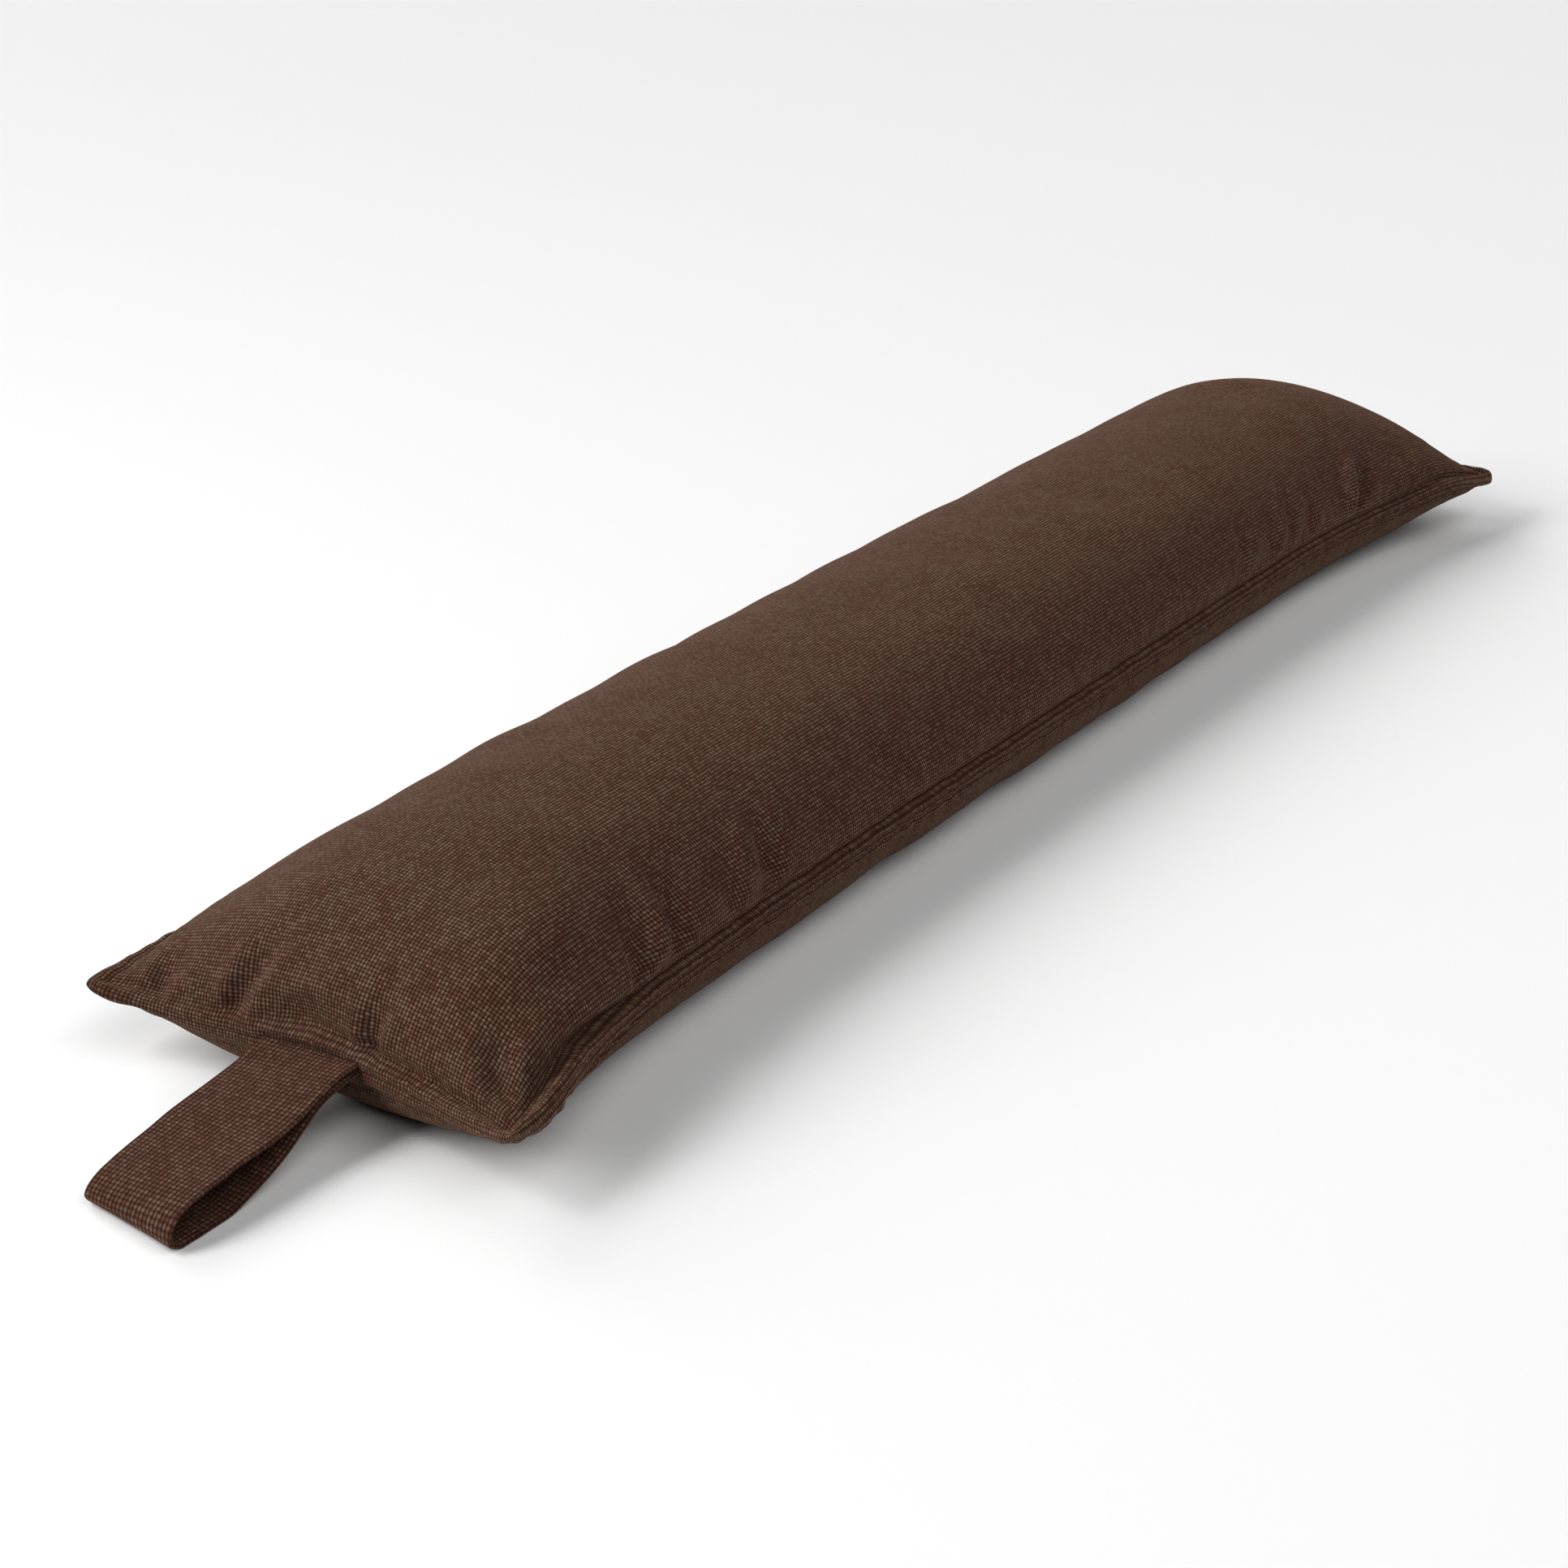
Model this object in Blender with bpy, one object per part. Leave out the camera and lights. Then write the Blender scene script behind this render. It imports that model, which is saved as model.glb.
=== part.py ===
"""Draught excluder: a long filled cushion of two sewn panels, with a webbing carry loop.

Metres, +Z up.  X runs along the cushion, from the webbing loop at -X to the plain end
at +X.  Y runs across it.  The origin is on the surface that the cushion lies on, under
the middle of its length.  A place on a panel is given in cloth sizes: how far along it
lies from the loop's end seam, and how far across it lies from the panel's middle line.
"""

import math
from typing import NamedTuple

import bmesh
import bpy
import numpy as np

# ---- the cushion as it lies ---------------------------------------------------------
SPAN = 0.835             # from ear to ear, along the long seams
CLOTH_HALF = 0.100       # half the width of a panel between its long seams
WAIST_HALF = 0.0746      # half the width at the long seams, mid length
WAIST_SEAM = 0.0318      # height of the long seams, mid length
BELLY_SINK = 0.003       # how far the surface presses the belly flat
FLAT_BELOW = 0.0004      # belly points lower than this lie on the surface


class Fullness(NamedTuple):
    """How square a panel's section is: 2 is an ellipse, less is drawn in to a point."""

    middle: float
    at_end: float
    fade: float              # length over which an end's own value is lost


TOP_FULLNESS = Fullness(2.20, 1.11, 0.118)
BELLY_FULLNESS = Fullness(2.55, 1.94, 0.118)


class SeamStation(NamedTuple):
    """Where a long seam runs, by its distance from an end seam."""

    along: float
    half_width: float
    height: float


class EndForm(NamedTuple):
    """How one end of the cushion is rounded and drawn in."""

    crown_rise: float        # crown above the end seam
    top_reach: float         # length over which the top rounds down
    top_power: float
    belly_reach: float       # length over which the belly rounds up
    belly_power: float
    seam_height: float       # middle of the end seam
    seam_fade: float         # length over which that height is lost
    draw_in: float           # how far the middle of the end seam is pulled in


LOOP_END = EndForm(0.0501, 0.086, 2.25, 0.094, 2.9, 0.0248, 0.095, 0.0167)
PLAIN_END = EndForm(0.0511, 0.092, 1.68, 0.108, 2.5, 0.0319, 0.105, 0.0094)

LOOP_END_SEAMS = (
    SeamStation(0.000, 0.0995, 0.0238),
    SeamStation(0.023, 0.0968, 0.0282),
    SeamStation(0.053, 0.0887, 0.0322),
    SeamStation(0.095, 0.0800, 0.0312),
    SeamStation(0.159, 0.0757, 0.0306),
    SeamStation(0.275, WAIST_HALF, WAIST_SEAM),
)
PLAIN_END_SEAMS = (
    SeamStation(0.000, 0.0967, 0.0234),
    SeamStation(0.023, 0.0983, 0.0283),
    SeamStation(0.053, 0.0944, 0.0335),
    SeamStation(0.095, 0.0829, 0.0304),
    SeamStation(0.159, 0.0762, 0.0311),
    SeamStation(0.275, WAIST_HALF, WAIST_SEAM),
)

# The back corner at the loop is the slacker one: narrower, and the panels dip beside it.
BACK_CORNER_NARROWER = 0.0075
BACK_SEAM_DIP = 0.0027
BACK_CORNER_FADE = 0.045


class CornerLift(NamedTuple):
    """How a corner at the loop is turned up."""

    rise: float
    fade: float              # length along the cushion over which that is lost
    power: float             # high: only the corner itself is lifted


FRONT_LIFT = CornerLift(0.0085, 0.016, 6)
BACK_LIFT = CornerLift(0.0060, 0.030, 4)

# ---- the sewn edge, in section from the join inwards over a panel --------------------
# The turned-in edges stand proud all round, and a groove parts them from the filled
# panel.  They stand out most at the corners; along a side the top panel rolls over them.
GROOVE_AT_END = 0.0074   # cloth distance from the join to the groove
GROOVE_AT_SIDE = 0.0040
SIDE_ROLL_FROM = 0.045   # how far from an end the roll begins, and where it is complete
SIDE_ROLL_TO = 0.110
RIDGE_SHARE = 0.45       # the crest of the edge, as a share of the groove's distance
TOP_RIDGE_PROUD = 0.0017
BELLY_RIDGE_PROUD = 0.0012
GROOVE_DEEP = 0.0022
BELLY_GROOVE_DEEP = 0.0008
SHOULDER_AT = 0.014      # the panel swells beyond the groove, away from the ends
SHOULDER_PROUD = 0.0010
SHOULDER_REACH = 0.010
CORNER_REACH = 0.022     # within this of a corner the panels lie flat on each other
TOP_SLOT = 0.0032        # beside the webbing the sewn edge stands back this far
BELLY_SLOT = 0.0050
SLOT_MARGIN = 0.0015
SLOT_WIDER = 0.0055      # the standing back reaches this far past the webbing's edges


class Crease(NamedTuple):
    """A soft trough in the top panel, deepest where it starts; a minus depth is a ridge."""

    along: float
    across: float            # minus is the front half
    end_along: float
    end_across: float
    half_width: float
    depth: float


CREASES = (
    # Across the loop's end, from the back corner to the front one.
    Crease(0.008, 0.080, 0.024, 0.078, 0.0040, 0.0014),
    Crease(0.008, 0.043, 0.030, 0.032, 0.0042, 0.0034),
    Crease(0.009, 0.014, 0.018, 0.006, 0.0040, 0.0013),
    Crease(0.006, -0.024, 0.025, -0.026, 0.0028, 0.0030),
    Crease(0.006, -0.055, 0.012, -0.057, 0.0040, 0.0010),
    Crease(0.020, -0.088, 0.028, -0.074, 0.0050, 0.0016),
    # Up from the front seam, behind the loop's end.
    Crease(0.098, -0.094, 0.103, -0.080, 0.0036, 0.0024),
    Crease(0.112, -0.091, 0.124, -0.069, 0.0055, -0.0017),
    Crease(0.129, -0.092, 0.133, -0.068, 0.0045, 0.0024),
    Crease(0.145, -0.089, 0.149, -0.076, 0.0060, -0.0010),
    Crease(0.158, -0.090, 0.166, -0.078, 0.0040, 0.0012),
    Crease(0.170, -0.087, 0.184, -0.066, 0.0060, -0.0014),
    Crease(0.187, -0.092, 0.197, -0.061, 0.0045, 0.0028),
    # Up from the front seam, towards the plain end.
    Crease(0.597, -0.084, 0.610, -0.060, 0.0060, 0.0010),
    Crease(0.594, -0.088, 0.618, -0.070, 0.0035, -0.0013),
    Crease(0.626, -0.089, 0.647, -0.071, 0.0035, -0.0013),
    Crease(0.649, -0.086, 0.668, -0.070, 0.0035, -0.0012),
    Crease(0.673, -0.086, 0.687, -0.072, 0.0035, -0.0008),
    Crease(0.708, -0.087, 0.730, -0.066, 0.0040, -0.0022),
    Crease(0.717, -0.090, 0.741, -0.066, 0.0038, 0.0022),
    Crease(0.763, -0.094, 0.768, -0.081, 0.0035, -0.0013),
    Crease(0.776, -0.093, 0.782, -0.080, 0.0035, -0.0012),
    # The same, along the back seam.
    Crease(0.104, 0.092, 0.112, 0.072, 0.0042, 0.0020),
    Crease(0.141, 0.091, 0.147, 0.068, 0.0050, 0.0018),
    Crease(0.655, 0.091, 0.640, 0.070, 0.0050, 0.0016),
    Crease(0.735, 0.090, 0.722, 0.068, 0.0045, 0.0022),
    # Across the plain end.
    Crease(0.840, 0.052, 0.819, 0.045, 0.0042, 0.0026),
    Crease(0.841, -0.012, 0.824, -0.010, 0.0032, 0.0020),
    Crease(0.840, -0.058, 0.822, -0.050, 0.0042, 0.0024),
)

# ---- the net that the panels are worked out on --------------------------------------
EDGE_ROWS = (0.0, 0.0009, 0.0020, 0.0035, 0.0055, 0.0075, 0.0100, 0.0140, 0.0200, 0.0280,
             0.0370, 0.0470, 0.0590, 0.0720, 0.0860)
END_ROWS = (0.0, 0.0009, 0.0020, 0.0035, 0.0055, 0.0075, 0.0100, 0.0140, 0.0190, 0.0250,
            0.0310, 0.0370, 0.0440, 0.0520, 0.0610, 0.0710, 0.0820, 0.0940, 0.1070)
SMOOTH_FROM, SMOOTH_TO = 0.205, 0.580   # between these the panels have no creases
CREASED_STEP = 0.007
SMOOTH_STEP = 0.020
SECTION_STEPS = 80

# ---- the webbing loop ---------------------------------------------------------------
WEBBING_WIDTH = 0.045
WEBBING_THICK = 0.0018
WEBBING_OFF_CENTRE = 0.0012
WEBBING_STEPS = 56
WEBBING_ACROSS = 4


class LoopRow(NamedTuple):
    """Both edges of the webbing's middle surface, at one place along the loop."""

    front_x: float
    front_z: float
    back_x: float
    back_z: float


LOOP_ROWS = (
    LoopRow(-0.4025, 0.0262, -0.4025, 0.0230),
    LoopRow(-0.4080, 0.0260, -0.4080, 0.0213),
    LoopRow(-0.4140, 0.0250, -0.4140, 0.0194),
    LoopRow(-0.4200, 0.0233, -0.4210, 0.0184),
    LoopRow(-0.4290, 0.0203, -0.4300, 0.0173),
    LoopRow(-0.4390, 0.0181, -0.4390, 0.0164),
    LoopRow(-0.4480, 0.0172, -0.4475, 0.0153),
    LoopRow(-0.4580, 0.0169, -0.4565, 0.0135),
    LoopRow(-0.4670, 0.0158, -0.4650, 0.0115),
    LoopRow(-0.4760, 0.0147, -0.4725, 0.0093),
    LoopRow(-0.4825, 0.0132, -0.4785, 0.0070),
    LoopRow(-0.4872, 0.0110, -0.4820, 0.0046),
    LoopRow(-0.4896, 0.0072, -0.4831, 0.0028),
    LoopRow(-0.4898, 0.0038, -0.4818, 0.0014),
    LoopRow(-0.4872, 0.0015, -0.4785, 0.0010),
    LoopRow(-0.4820, 0.0009, -0.4740, 0.0009),
    LoopRow(-0.4740, 0.0009, -0.4690, 0.0009),
    LoopRow(-0.4650, 0.0011, -0.4620, 0.0010),
    LoopRow(-0.4560, 0.0035, -0.4540, 0.0026),
    LoopRow(-0.4460, 0.0068, -0.4440, 0.0054),
    LoopRow(-0.4370, 0.0108, -0.4350, 0.0088),
    LoopRow(-0.4300, 0.0150, -0.4285, 0.0120),
    LoopRow(-0.4220, 0.0195, -0.4210, 0.0150),
    LoopRow(-0.4140, 0.0220, -0.4130, 0.0170),
    LoopRow(-0.4025, 0.0236, -0.4025, 0.0204),
)


# ---- curves through short tables ----------------------------------------------------
def smooth_through(at: np.ndarray, knots: np.ndarray, values: np.ndarray) -> np.ndarray:
    """Read a smooth cubic through the knots of a short table."""
    steps = np.diff(knots)
    slopes = np.diff(values) / steps
    inner = (slopes[:-1] * steps[1:] + slopes[1:] * steps[:-1]) / (steps[1:] + steps[:-1])
    tangents = np.concatenate([slopes[:1], inner, slopes[-1:]])
    place = np.clip(at, knots[0], knots[-1])
    span = np.clip(np.searchsorted(knots, place) - 1, 0, len(steps) - 1)
    step = steps[span]
    t = (place - knots[span]) / step
    return (
        values[span] * (1 + 2 * t) * (1 - t) ** 2
        + tangents[span] * step * t * (1 - t) ** 2
        + values[span + 1] * t * t * (3 - 2 * t)
        + tangents[span + 1] * step * t * t * (t - 1)
    )


def smooth_step(t: np.ndarray) -> np.ndarray:
    """Rise from 0 to 1 with level ends."""
    t = np.clip(t, 0.0, 1.0)
    return t * t * (3 - 2 * t)


def bump(distance: np.ndarray, reach: float) -> np.ndarray:
    """A round hump, 1 at no distance and 0 from the reach on."""
    return smooth_step(1 - np.abs(distance) / reach)


def rounded_end(from_end: np.ndarray, reach: float, rise: float, power: float):
    """Follow the cloth over a rounded end.

    Returns the distance along X and the share of the rise at each cloth distance from
    the end seam, and the cloth's own length over the rounding.
    """
    angle = np.linspace(0, math.pi / 2, 2 * SECTION_STEPS)
    inwards = reach * (1 - np.cos(angle) ** (2 / power))
    risen = np.sin(angle) ** (2 / power)
    cloth = np.concatenate([[0.0], np.cumsum(np.hypot(np.diff(inwards), np.diff(risen * rise)))])
    x = np.where(from_end < cloth[-1], np.interp(from_end, cloth, inwards),
                 reach + from_end - cloth[-1])
    return x, np.interp(from_end, cloth, risen), cloth[-1]


def cloth_length() -> float:
    """Length of a panel between its end seams, as the top panel's middle line needs it."""
    length = SPAN
    for end in (LOOP_END, PLAIN_END):
        cloth = rounded_end(np.zeros(1), end.top_reach, end.crown_rise, end.top_power)[2]
        length += cloth - end.top_reach - end.draw_in
    return length


CLOTH_LENGTH = cloth_length()


# ---- the cushion's surface ----------------------------------------------------------
def base_surface(along: np.ndarray, across: np.ndarray, top: bool) -> np.ndarray:
    """Work out one panel without its sewn edge and creases.

    `along` holds a cloth distance for each row and `across` one for each column; the
    result has a point for each row and column.
    """
    to_plain = CLOTH_LENGTH - along
    share = along / CLOTH_LENGTH
    near_loop = along < to_plain

    def end_shape(end: EndForm, distance: np.ndarray):
        """Follow this panel over one end."""
        if top:
            return rounded_end(distance, end.top_reach, end.crown_rise, end.top_power)
        return rounded_end(distance, end.belly_reach, WAIST_SEAM, end.belly_power)

    loop_x, loop_rise, _ = end_shape(LOOP_END, along)
    plain_x, plain_rise, _ = end_shape(PLAIN_END, to_plain)
    rise = loop_rise * plain_rise

    seam_x = share * SPAN
    blend = smooth_step((share - 0.25) / 0.5)
    middle_x = (LOOP_END.draw_in + loop_x) * (1 - blend)
    middle_x += (SPAN - PLAIN_END.draw_in - plain_x) * blend

    def seam_value(column: str) -> np.ndarray:
        """Read a column of the seams' tables at every row."""
        values = []
        for table, distance in ((LOOP_END_SEAMS, along), (PLAIN_END_SEAMS, to_plain)):
            knots = np.array([station.along for station in table])
            heights = np.array([getattr(station, column) for station in table])
            values.append(smooth_through(distance, knots, heights))
        return np.where(near_loop, values[0], values[1])

    half_width = seam_value("half_width")
    seam_z = seam_value("height")
    middle_z = WAIST_SEAM + (LOOP_END.seam_height - WAIST_SEAM) * np.exp(-along / LOOP_END.seam_fade)
    middle_z += (PLAIN_END.seam_height - WAIST_SEAM) * np.exp(-to_plain / PLAIN_END.seam_fade)
    crown = LOOP_END.crown_rise * (1 - share) + PLAIN_END.crown_rise * share

    angle = np.linspace(0, math.pi / 2, SECTION_STEPS + 1)
    form = TOP_FULLNESS if top else BELLY_FULLNESS
    out = np.cos(angle) ** (2 / form.middle)
    at_end = np.exp(-(np.minimum(along, to_plain) / form.fade) ** 2)
    fullness = form.middle + (form.at_end - form.middle) * at_end
    back = across > 0
    back_fade = np.exp(-along / BACK_CORNER_FADE)
    points = np.zeros((len(along), len(across), 3))
    for row in range(len(along)):
        up = np.sin(angle) ** (2 / fullness[row])
        y = half_width[row] * out
        z = seam_z[row] * out ** 2 + middle_z[row] * (1 - out ** 2)
        if top:
            z = z + crown[row] * rise[row] * up
        else:
            z = z - (WAIST_SEAM + BELLY_SINK) * rise[row] * up
        cloth = np.concatenate([[0.0], np.cumsum(np.hypot(np.diff(y), np.diff(z)))])
        at = np.interp(1 - np.abs(across) / CLOTH_HALF, cloth / cloth[-1], angle)
        y_here = np.interp(at, angle, y)
        z_here = np.interp(at, angle, z)
        share_out = y_here / half_width[row]
        inside = 1 - share_out ** 2
        dip = BACK_SEAM_DIP * back_fade[row] * 4 * share_out * (1 - share_out)
        front_lift, back_lift = (
            corner.rise * np.exp(-along[row] / corner.fade) * share_out ** corner.power
            for corner in (FRONT_LIFT, BACK_LIFT)
        )
        narrow = 1 - BACK_CORNER_NARROWER * back_fade[row] / half_width[row]
        points[row, :, 0] = seam_x[row] * (1 - inside) + middle_x[row] * inside - SPAN / 2
        points[row, :, 1] = np.where(back, y_here * narrow, -y_here)
        points[row, :, 2] = z_here + np.where(back, back_lift - dip, front_lift)
    return points


def surface_normals(points: np.ndarray, top: bool) -> np.ndarray:
    """Unit normals of a net of points, pointing out of the cushion."""
    along = np.gradient(points, axis=0)
    across = np.gradient(points, axis=1)
    normal = np.cross(along, across)
    normal /= np.linalg.norm(normal, axis=2, keepdims=True) + 1e-12
    return normal if top else -normal


def crease_depth(along: np.ndarray, across: np.ndarray) -> np.ndarray:
    """Total depth of the creases at each point of the top panel."""
    depth = np.zeros_like(along)
    for crease in CREASES:
        run_along = crease.end_along - crease.along
        run_across = crease.end_across - crease.across
        length = math.hypot(run_along, run_across)
        to_along = along - crease.along
        to_across = across - crease.across
        travelled = (to_along * run_along + to_across * run_across) / length ** 2
        sideways = (to_along * run_across - to_across * run_along) / length
        held = np.clip(travelled, 0.0, 1.0)
        past = np.abs(travelled - held) * length
        distance = np.hypot(sideways, past)
        depth += crease.depth * bump(distance, 2 * crease.half_width) * (1 - 0.75 * held)
    return depth


def from_seams(along: np.ndarray, across: np.ndarray) -> np.ndarray:
    """Distance to the nearest seam, in units of the groove's distance from it.

    The two distances are joined smoothly, so the groove turns a corner in a small round.
    """
    from_end = np.minimum(along, CLOTH_LENGTH - along)
    from_side = CLOTH_HALF - np.abs(across)
    rolled = smooth_step((from_end - SIDE_ROLL_FROM) / (SIDE_ROLL_TO - SIDE_ROLL_FROM))
    groove_at_side = GROOVE_AT_END + (GROOVE_AT_SIDE - GROOVE_AT_END) * rolled
    end_share = np.maximum(from_end / GROOVE_AT_END, 1e-6)
    side_share = np.maximum(from_side / groove_at_side, 1e-6)
    return (end_share ** -4 + side_share ** -4) ** -0.25


def slot_for_webbing(along: np.ndarray, across: np.ndarray, reach: float) -> np.ndarray:
    """Rise from 0, where the webbing leaves the end seam, to 1 clear of it."""
    beside = np.abs(across - WEBBING_OFF_CENTRE) - WEBBING_WIDTH / 2 - SLOT_WIDER
    return np.maximum(smooth_step(beside / SLOT_MARGIN), smooth_step((along - reach) / SLOT_MARGIN))


def relief(along: np.ndarray, across: np.ndarray, top: bool) -> np.ndarray:
    """How far a panel stands out from its base surface."""
    seam_share = from_seams(along, across)
    nose = np.sqrt(np.clip(1 - (1 - np.minimum(seam_share / RIDGE_SHARE, 1.0)) ** 2, 0, 1))
    ridge = nose * (1 - smooth_step((seam_share - RIDGE_SHARE) / (1 - RIDGE_SHARE)))
    ridge = ridge * slot_for_webbing(along, across, TOP_SLOT if top else BELLY_SLOT)
    groove = bump(seam_share - 1, 0.6)
    if not top:
        return BELLY_RIDGE_PROUD * ridge - BELLY_GROOVE_DEEP * groove
    from_end = np.minimum(along, CLOTH_LENGTH - along)
    from_side = CLOTH_HALF - np.abs(across)
    shoulder = SHOULDER_PROUD * bump(from_side - SHOULDER_AT, SHOULDER_REACH)
    shoulder *= smooth_step(from_end / SIDE_ROLL_TO)
    creases = crease_depth(along, across) * smooth_step(seam_share)
    return TOP_RIDGE_PROUD * ridge - GROOVE_DEEP * groove + shoulder - creases


def raised(points: np.ndarray, along: np.ndarray, across: np.ndarray, top: bool) -> np.ndarray:
    """Give a panel its sewn edge and creases.

    At a corner the panels lie on each other, and there the edge is raised straight up
    or down.
    """
    rows, columns = np.meshgrid(along, across, indexing="ij")
    from_end = np.minimum(rows, CLOTH_LENGTH - rows)
    from_side = CLOTH_HALF - np.abs(columns)
    at_corner = bump(np.hypot(from_end, from_side), CORNER_REACH)[..., None]
    outwards = surface_normals(points, top) * (1 - at_corner)
    outwards = outwards + np.array([0.0, 0.0, 1.0 if top else -1.0]) * at_corner
    outwards /= np.linalg.norm(outwards, axis=2, keepdims=True)
    return points + outwards * relief(rows, columns, top)[..., None]


def net_rows() -> tuple[np.ndarray, np.ndarray]:
    """Cloth distances of the net's rows along the cushion and its columns across it."""
    ends = np.array(END_ROWS)
    stretches = (
        (ends[-1], SMOOTH_FROM, CREASED_STEP),
        (SMOOTH_FROM, SMOOTH_TO, SMOOTH_STEP),
        (SMOOTH_TO, CLOTH_LENGTH - ends[-1], CREASED_STEP),
    )
    middle = [np.linspace(start, stop, round((stop - start) / step) + 1)[1:]
              for start, stop, step in stretches]
    along = np.concatenate([ends, *middle, (CLOTH_LENGTH - ends[:-1])[::-1]])
    side = CLOTH_HALF - np.array(EDGE_ROWS)
    across = np.concatenate([-side, [0.0], side[::-1]])
    return along, across


def panel_points(along: np.ndarray, across: np.ndarray) -> tuple[np.ndarray, np.ndarray]:
    """Points of the top and the bottom panel, which share their edges."""
    top = raised(base_surface(along, across, top=True), along, across, top=True)
    bottom = raised(base_surface(along, across, top=False), along, across, top=False)
    height = bottom[..., 2]
    bottom[..., 2] = np.where(height < FLAT_BELOW, 0.0, height)
    for edge in (np.s_[0, :], np.s_[-1, :], np.s_[:, 0], np.s_[:, -1]):
        bottom[edge] = top[edge]
    return top, bottom


def add_panel(bm: bmesh.types.BMesh, points: np.ndarray, face_down: bool = False) -> list:
    """Add a net of faces to bm and return the vertices on its edge."""
    rows, columns = points.shape[0] - 1, points.shape[1] - 1
    made = bmesh.ops.create_grid(bm, x_segments=rows, y_segments=columns, size=1.0)["verts"]
    if face_down:
        faces = {face for vertex in made for face in vertex.link_faces}
        bmesh.ops.reverse_faces(bm, faces=list(faces))
    edge = []
    for vertex in made:
        row = round((vertex.co.x + 1) / 2 * rows)
        column = round((vertex.co.y + 1) / 2 * columns)
        vertex.co = points[row, column]
        if row in (0, rows) or column in (0, columns):
            edge.append(vertex)
    return edge


# ---- objects ------------------------------------------------------------------------
def clear_scene() -> None:
    """Remove every object of the scene."""
    for thing in list(bpy.data.objects):
        bpy.data.objects.remove(thing, do_unlink=True)


def cloth_material(name: str, colour: tuple[float, float, float]) -> bpy.types.Material:
    """Make a matt cloth material."""
    material = bpy.data.materials.new(name)
    material.use_nodes = True
    shader = material.node_tree.nodes["Principled BSDF"]
    shader.inputs["Base Color"].default_value = (*colour, 1.0)
    shader.inputs["Roughness"].default_value = 0.9
    shader.inputs["Metallic"].default_value = 0.0
    return material


def add_object(name: str, bm: bmesh.types.BMesh, material: bpy.types.Material) -> bpy.types.Object:
    """Turn bm into a smooth-shaded object of the scene."""
    mesh = bpy.data.meshes.new(name)
    bm.to_mesh(mesh)
    bm.free()
    mesh.materials.append(material)
    mesh.shade_smooth()
    thing = bpy.data.objects.new(name, mesh)
    bpy.context.scene.collection.objects.link(thing)
    return thing


def build_cushion() -> bpy.types.Object:
    """Close the two panels along their seams into one filled solid."""
    top, bottom = panel_points(*net_rows())
    bm = bmesh.new()
    edge = add_panel(bm, top)
    edge += add_panel(bm, bottom, face_down=True)
    bmesh.ops.remove_doubles(bm, verts=edge, dist=1e-6)
    return add_object("cushion", bm, cloth_material("cushion_cloth", (0.085, 0.047, 0.036)))


def loop_edges(steps: int) -> np.ndarray:
    """Front and back edge points along the webbing, at even distances."""
    table = np.array(LOOP_ROWS)
    middle = (table[:, :2] + table[:, 2:]) / 2
    travelled = np.concatenate([[0.0], np.cumsum(np.linalg.norm(np.diff(middle, axis=0), axis=1))])
    at = np.linspace(0, travelled[-1], steps + 1)
    return np.stack([smooth_through(at, travelled, column) for column in table.T], axis=1)


def build_loop() -> bpy.types.Object:
    """Bend the webbing into its loop, from the end seam out and back to it."""
    edges = loop_edges(WEBBING_STEPS)
    front_y = WEBBING_OFF_CENTRE - WEBBING_WIDTH / 2
    points = np.zeros((WEBBING_STEPS + 1, WEBBING_ACROSS + 1, 3))
    for column in range(WEBBING_ACROSS + 1):
        t = column / WEBBING_ACROSS
        points[:, column, 0] = edges[:, 0] * (1 - t) + edges[:, 2] * t
        points[:, column, 1] = front_y + WEBBING_WIDTH * t
        points[:, column, 2] = edges[:, 1] * (1 - t) + edges[:, 3] * t
    bm = bmesh.new()
    add_panel(bm, points)
    thing = add_object("handle_loop", bm, cloth_material("webbing", (0.075, 0.032, 0.026)))
    thick = thing.modifiers.new("thickness", "SOLIDIFY")
    thick.thickness = WEBBING_THICK
    thick.offset = 0.0
    thick.use_even_offset = True
    return thing


def main() -> None:
    """Build the cushion and its carry loop."""
    clear_scene()
    build_cushion()
    build_loop()


main()
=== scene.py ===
"""Looks of a draught excluder: a long filled cushion of two sewn panels, with a webbing loop.

Metres, +Z up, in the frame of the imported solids.  X runs along the cushion, from the
webbing loop at -X to the plain end at +X, and Y across it to the back.  A place on a
panel is given in cloth sizes: how far along it lies from the loop's end seam, and how
far across from the middle line.  The UV map holds these sizes in metres, so the weave
keeps its real scale and follows the cloth wherever that is drawn in.
"""

import logging
import math
from dataclasses import dataclass, field
from enum import Enum
from typing import NamedTuple

import bmesh
import bpy
import numpy as np
from bpy.types import Light, Material, Node, NodeSocket, Object
from mathutils import Matrix, Vector

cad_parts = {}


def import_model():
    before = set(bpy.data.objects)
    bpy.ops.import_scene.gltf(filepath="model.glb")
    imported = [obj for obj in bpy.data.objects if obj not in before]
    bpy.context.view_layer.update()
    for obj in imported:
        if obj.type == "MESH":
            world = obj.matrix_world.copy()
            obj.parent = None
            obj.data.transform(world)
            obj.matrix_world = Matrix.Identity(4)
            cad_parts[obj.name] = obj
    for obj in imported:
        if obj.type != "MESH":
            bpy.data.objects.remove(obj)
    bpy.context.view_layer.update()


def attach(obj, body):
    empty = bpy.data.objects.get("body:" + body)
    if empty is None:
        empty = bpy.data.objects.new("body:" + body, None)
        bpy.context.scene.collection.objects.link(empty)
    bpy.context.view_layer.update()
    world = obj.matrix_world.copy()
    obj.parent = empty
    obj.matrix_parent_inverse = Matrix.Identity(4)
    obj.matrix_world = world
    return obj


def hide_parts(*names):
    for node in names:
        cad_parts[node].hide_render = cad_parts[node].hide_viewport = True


Colour = tuple[float, float, float, float]
Table = tuple[tuple[float, ...], ...]

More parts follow.
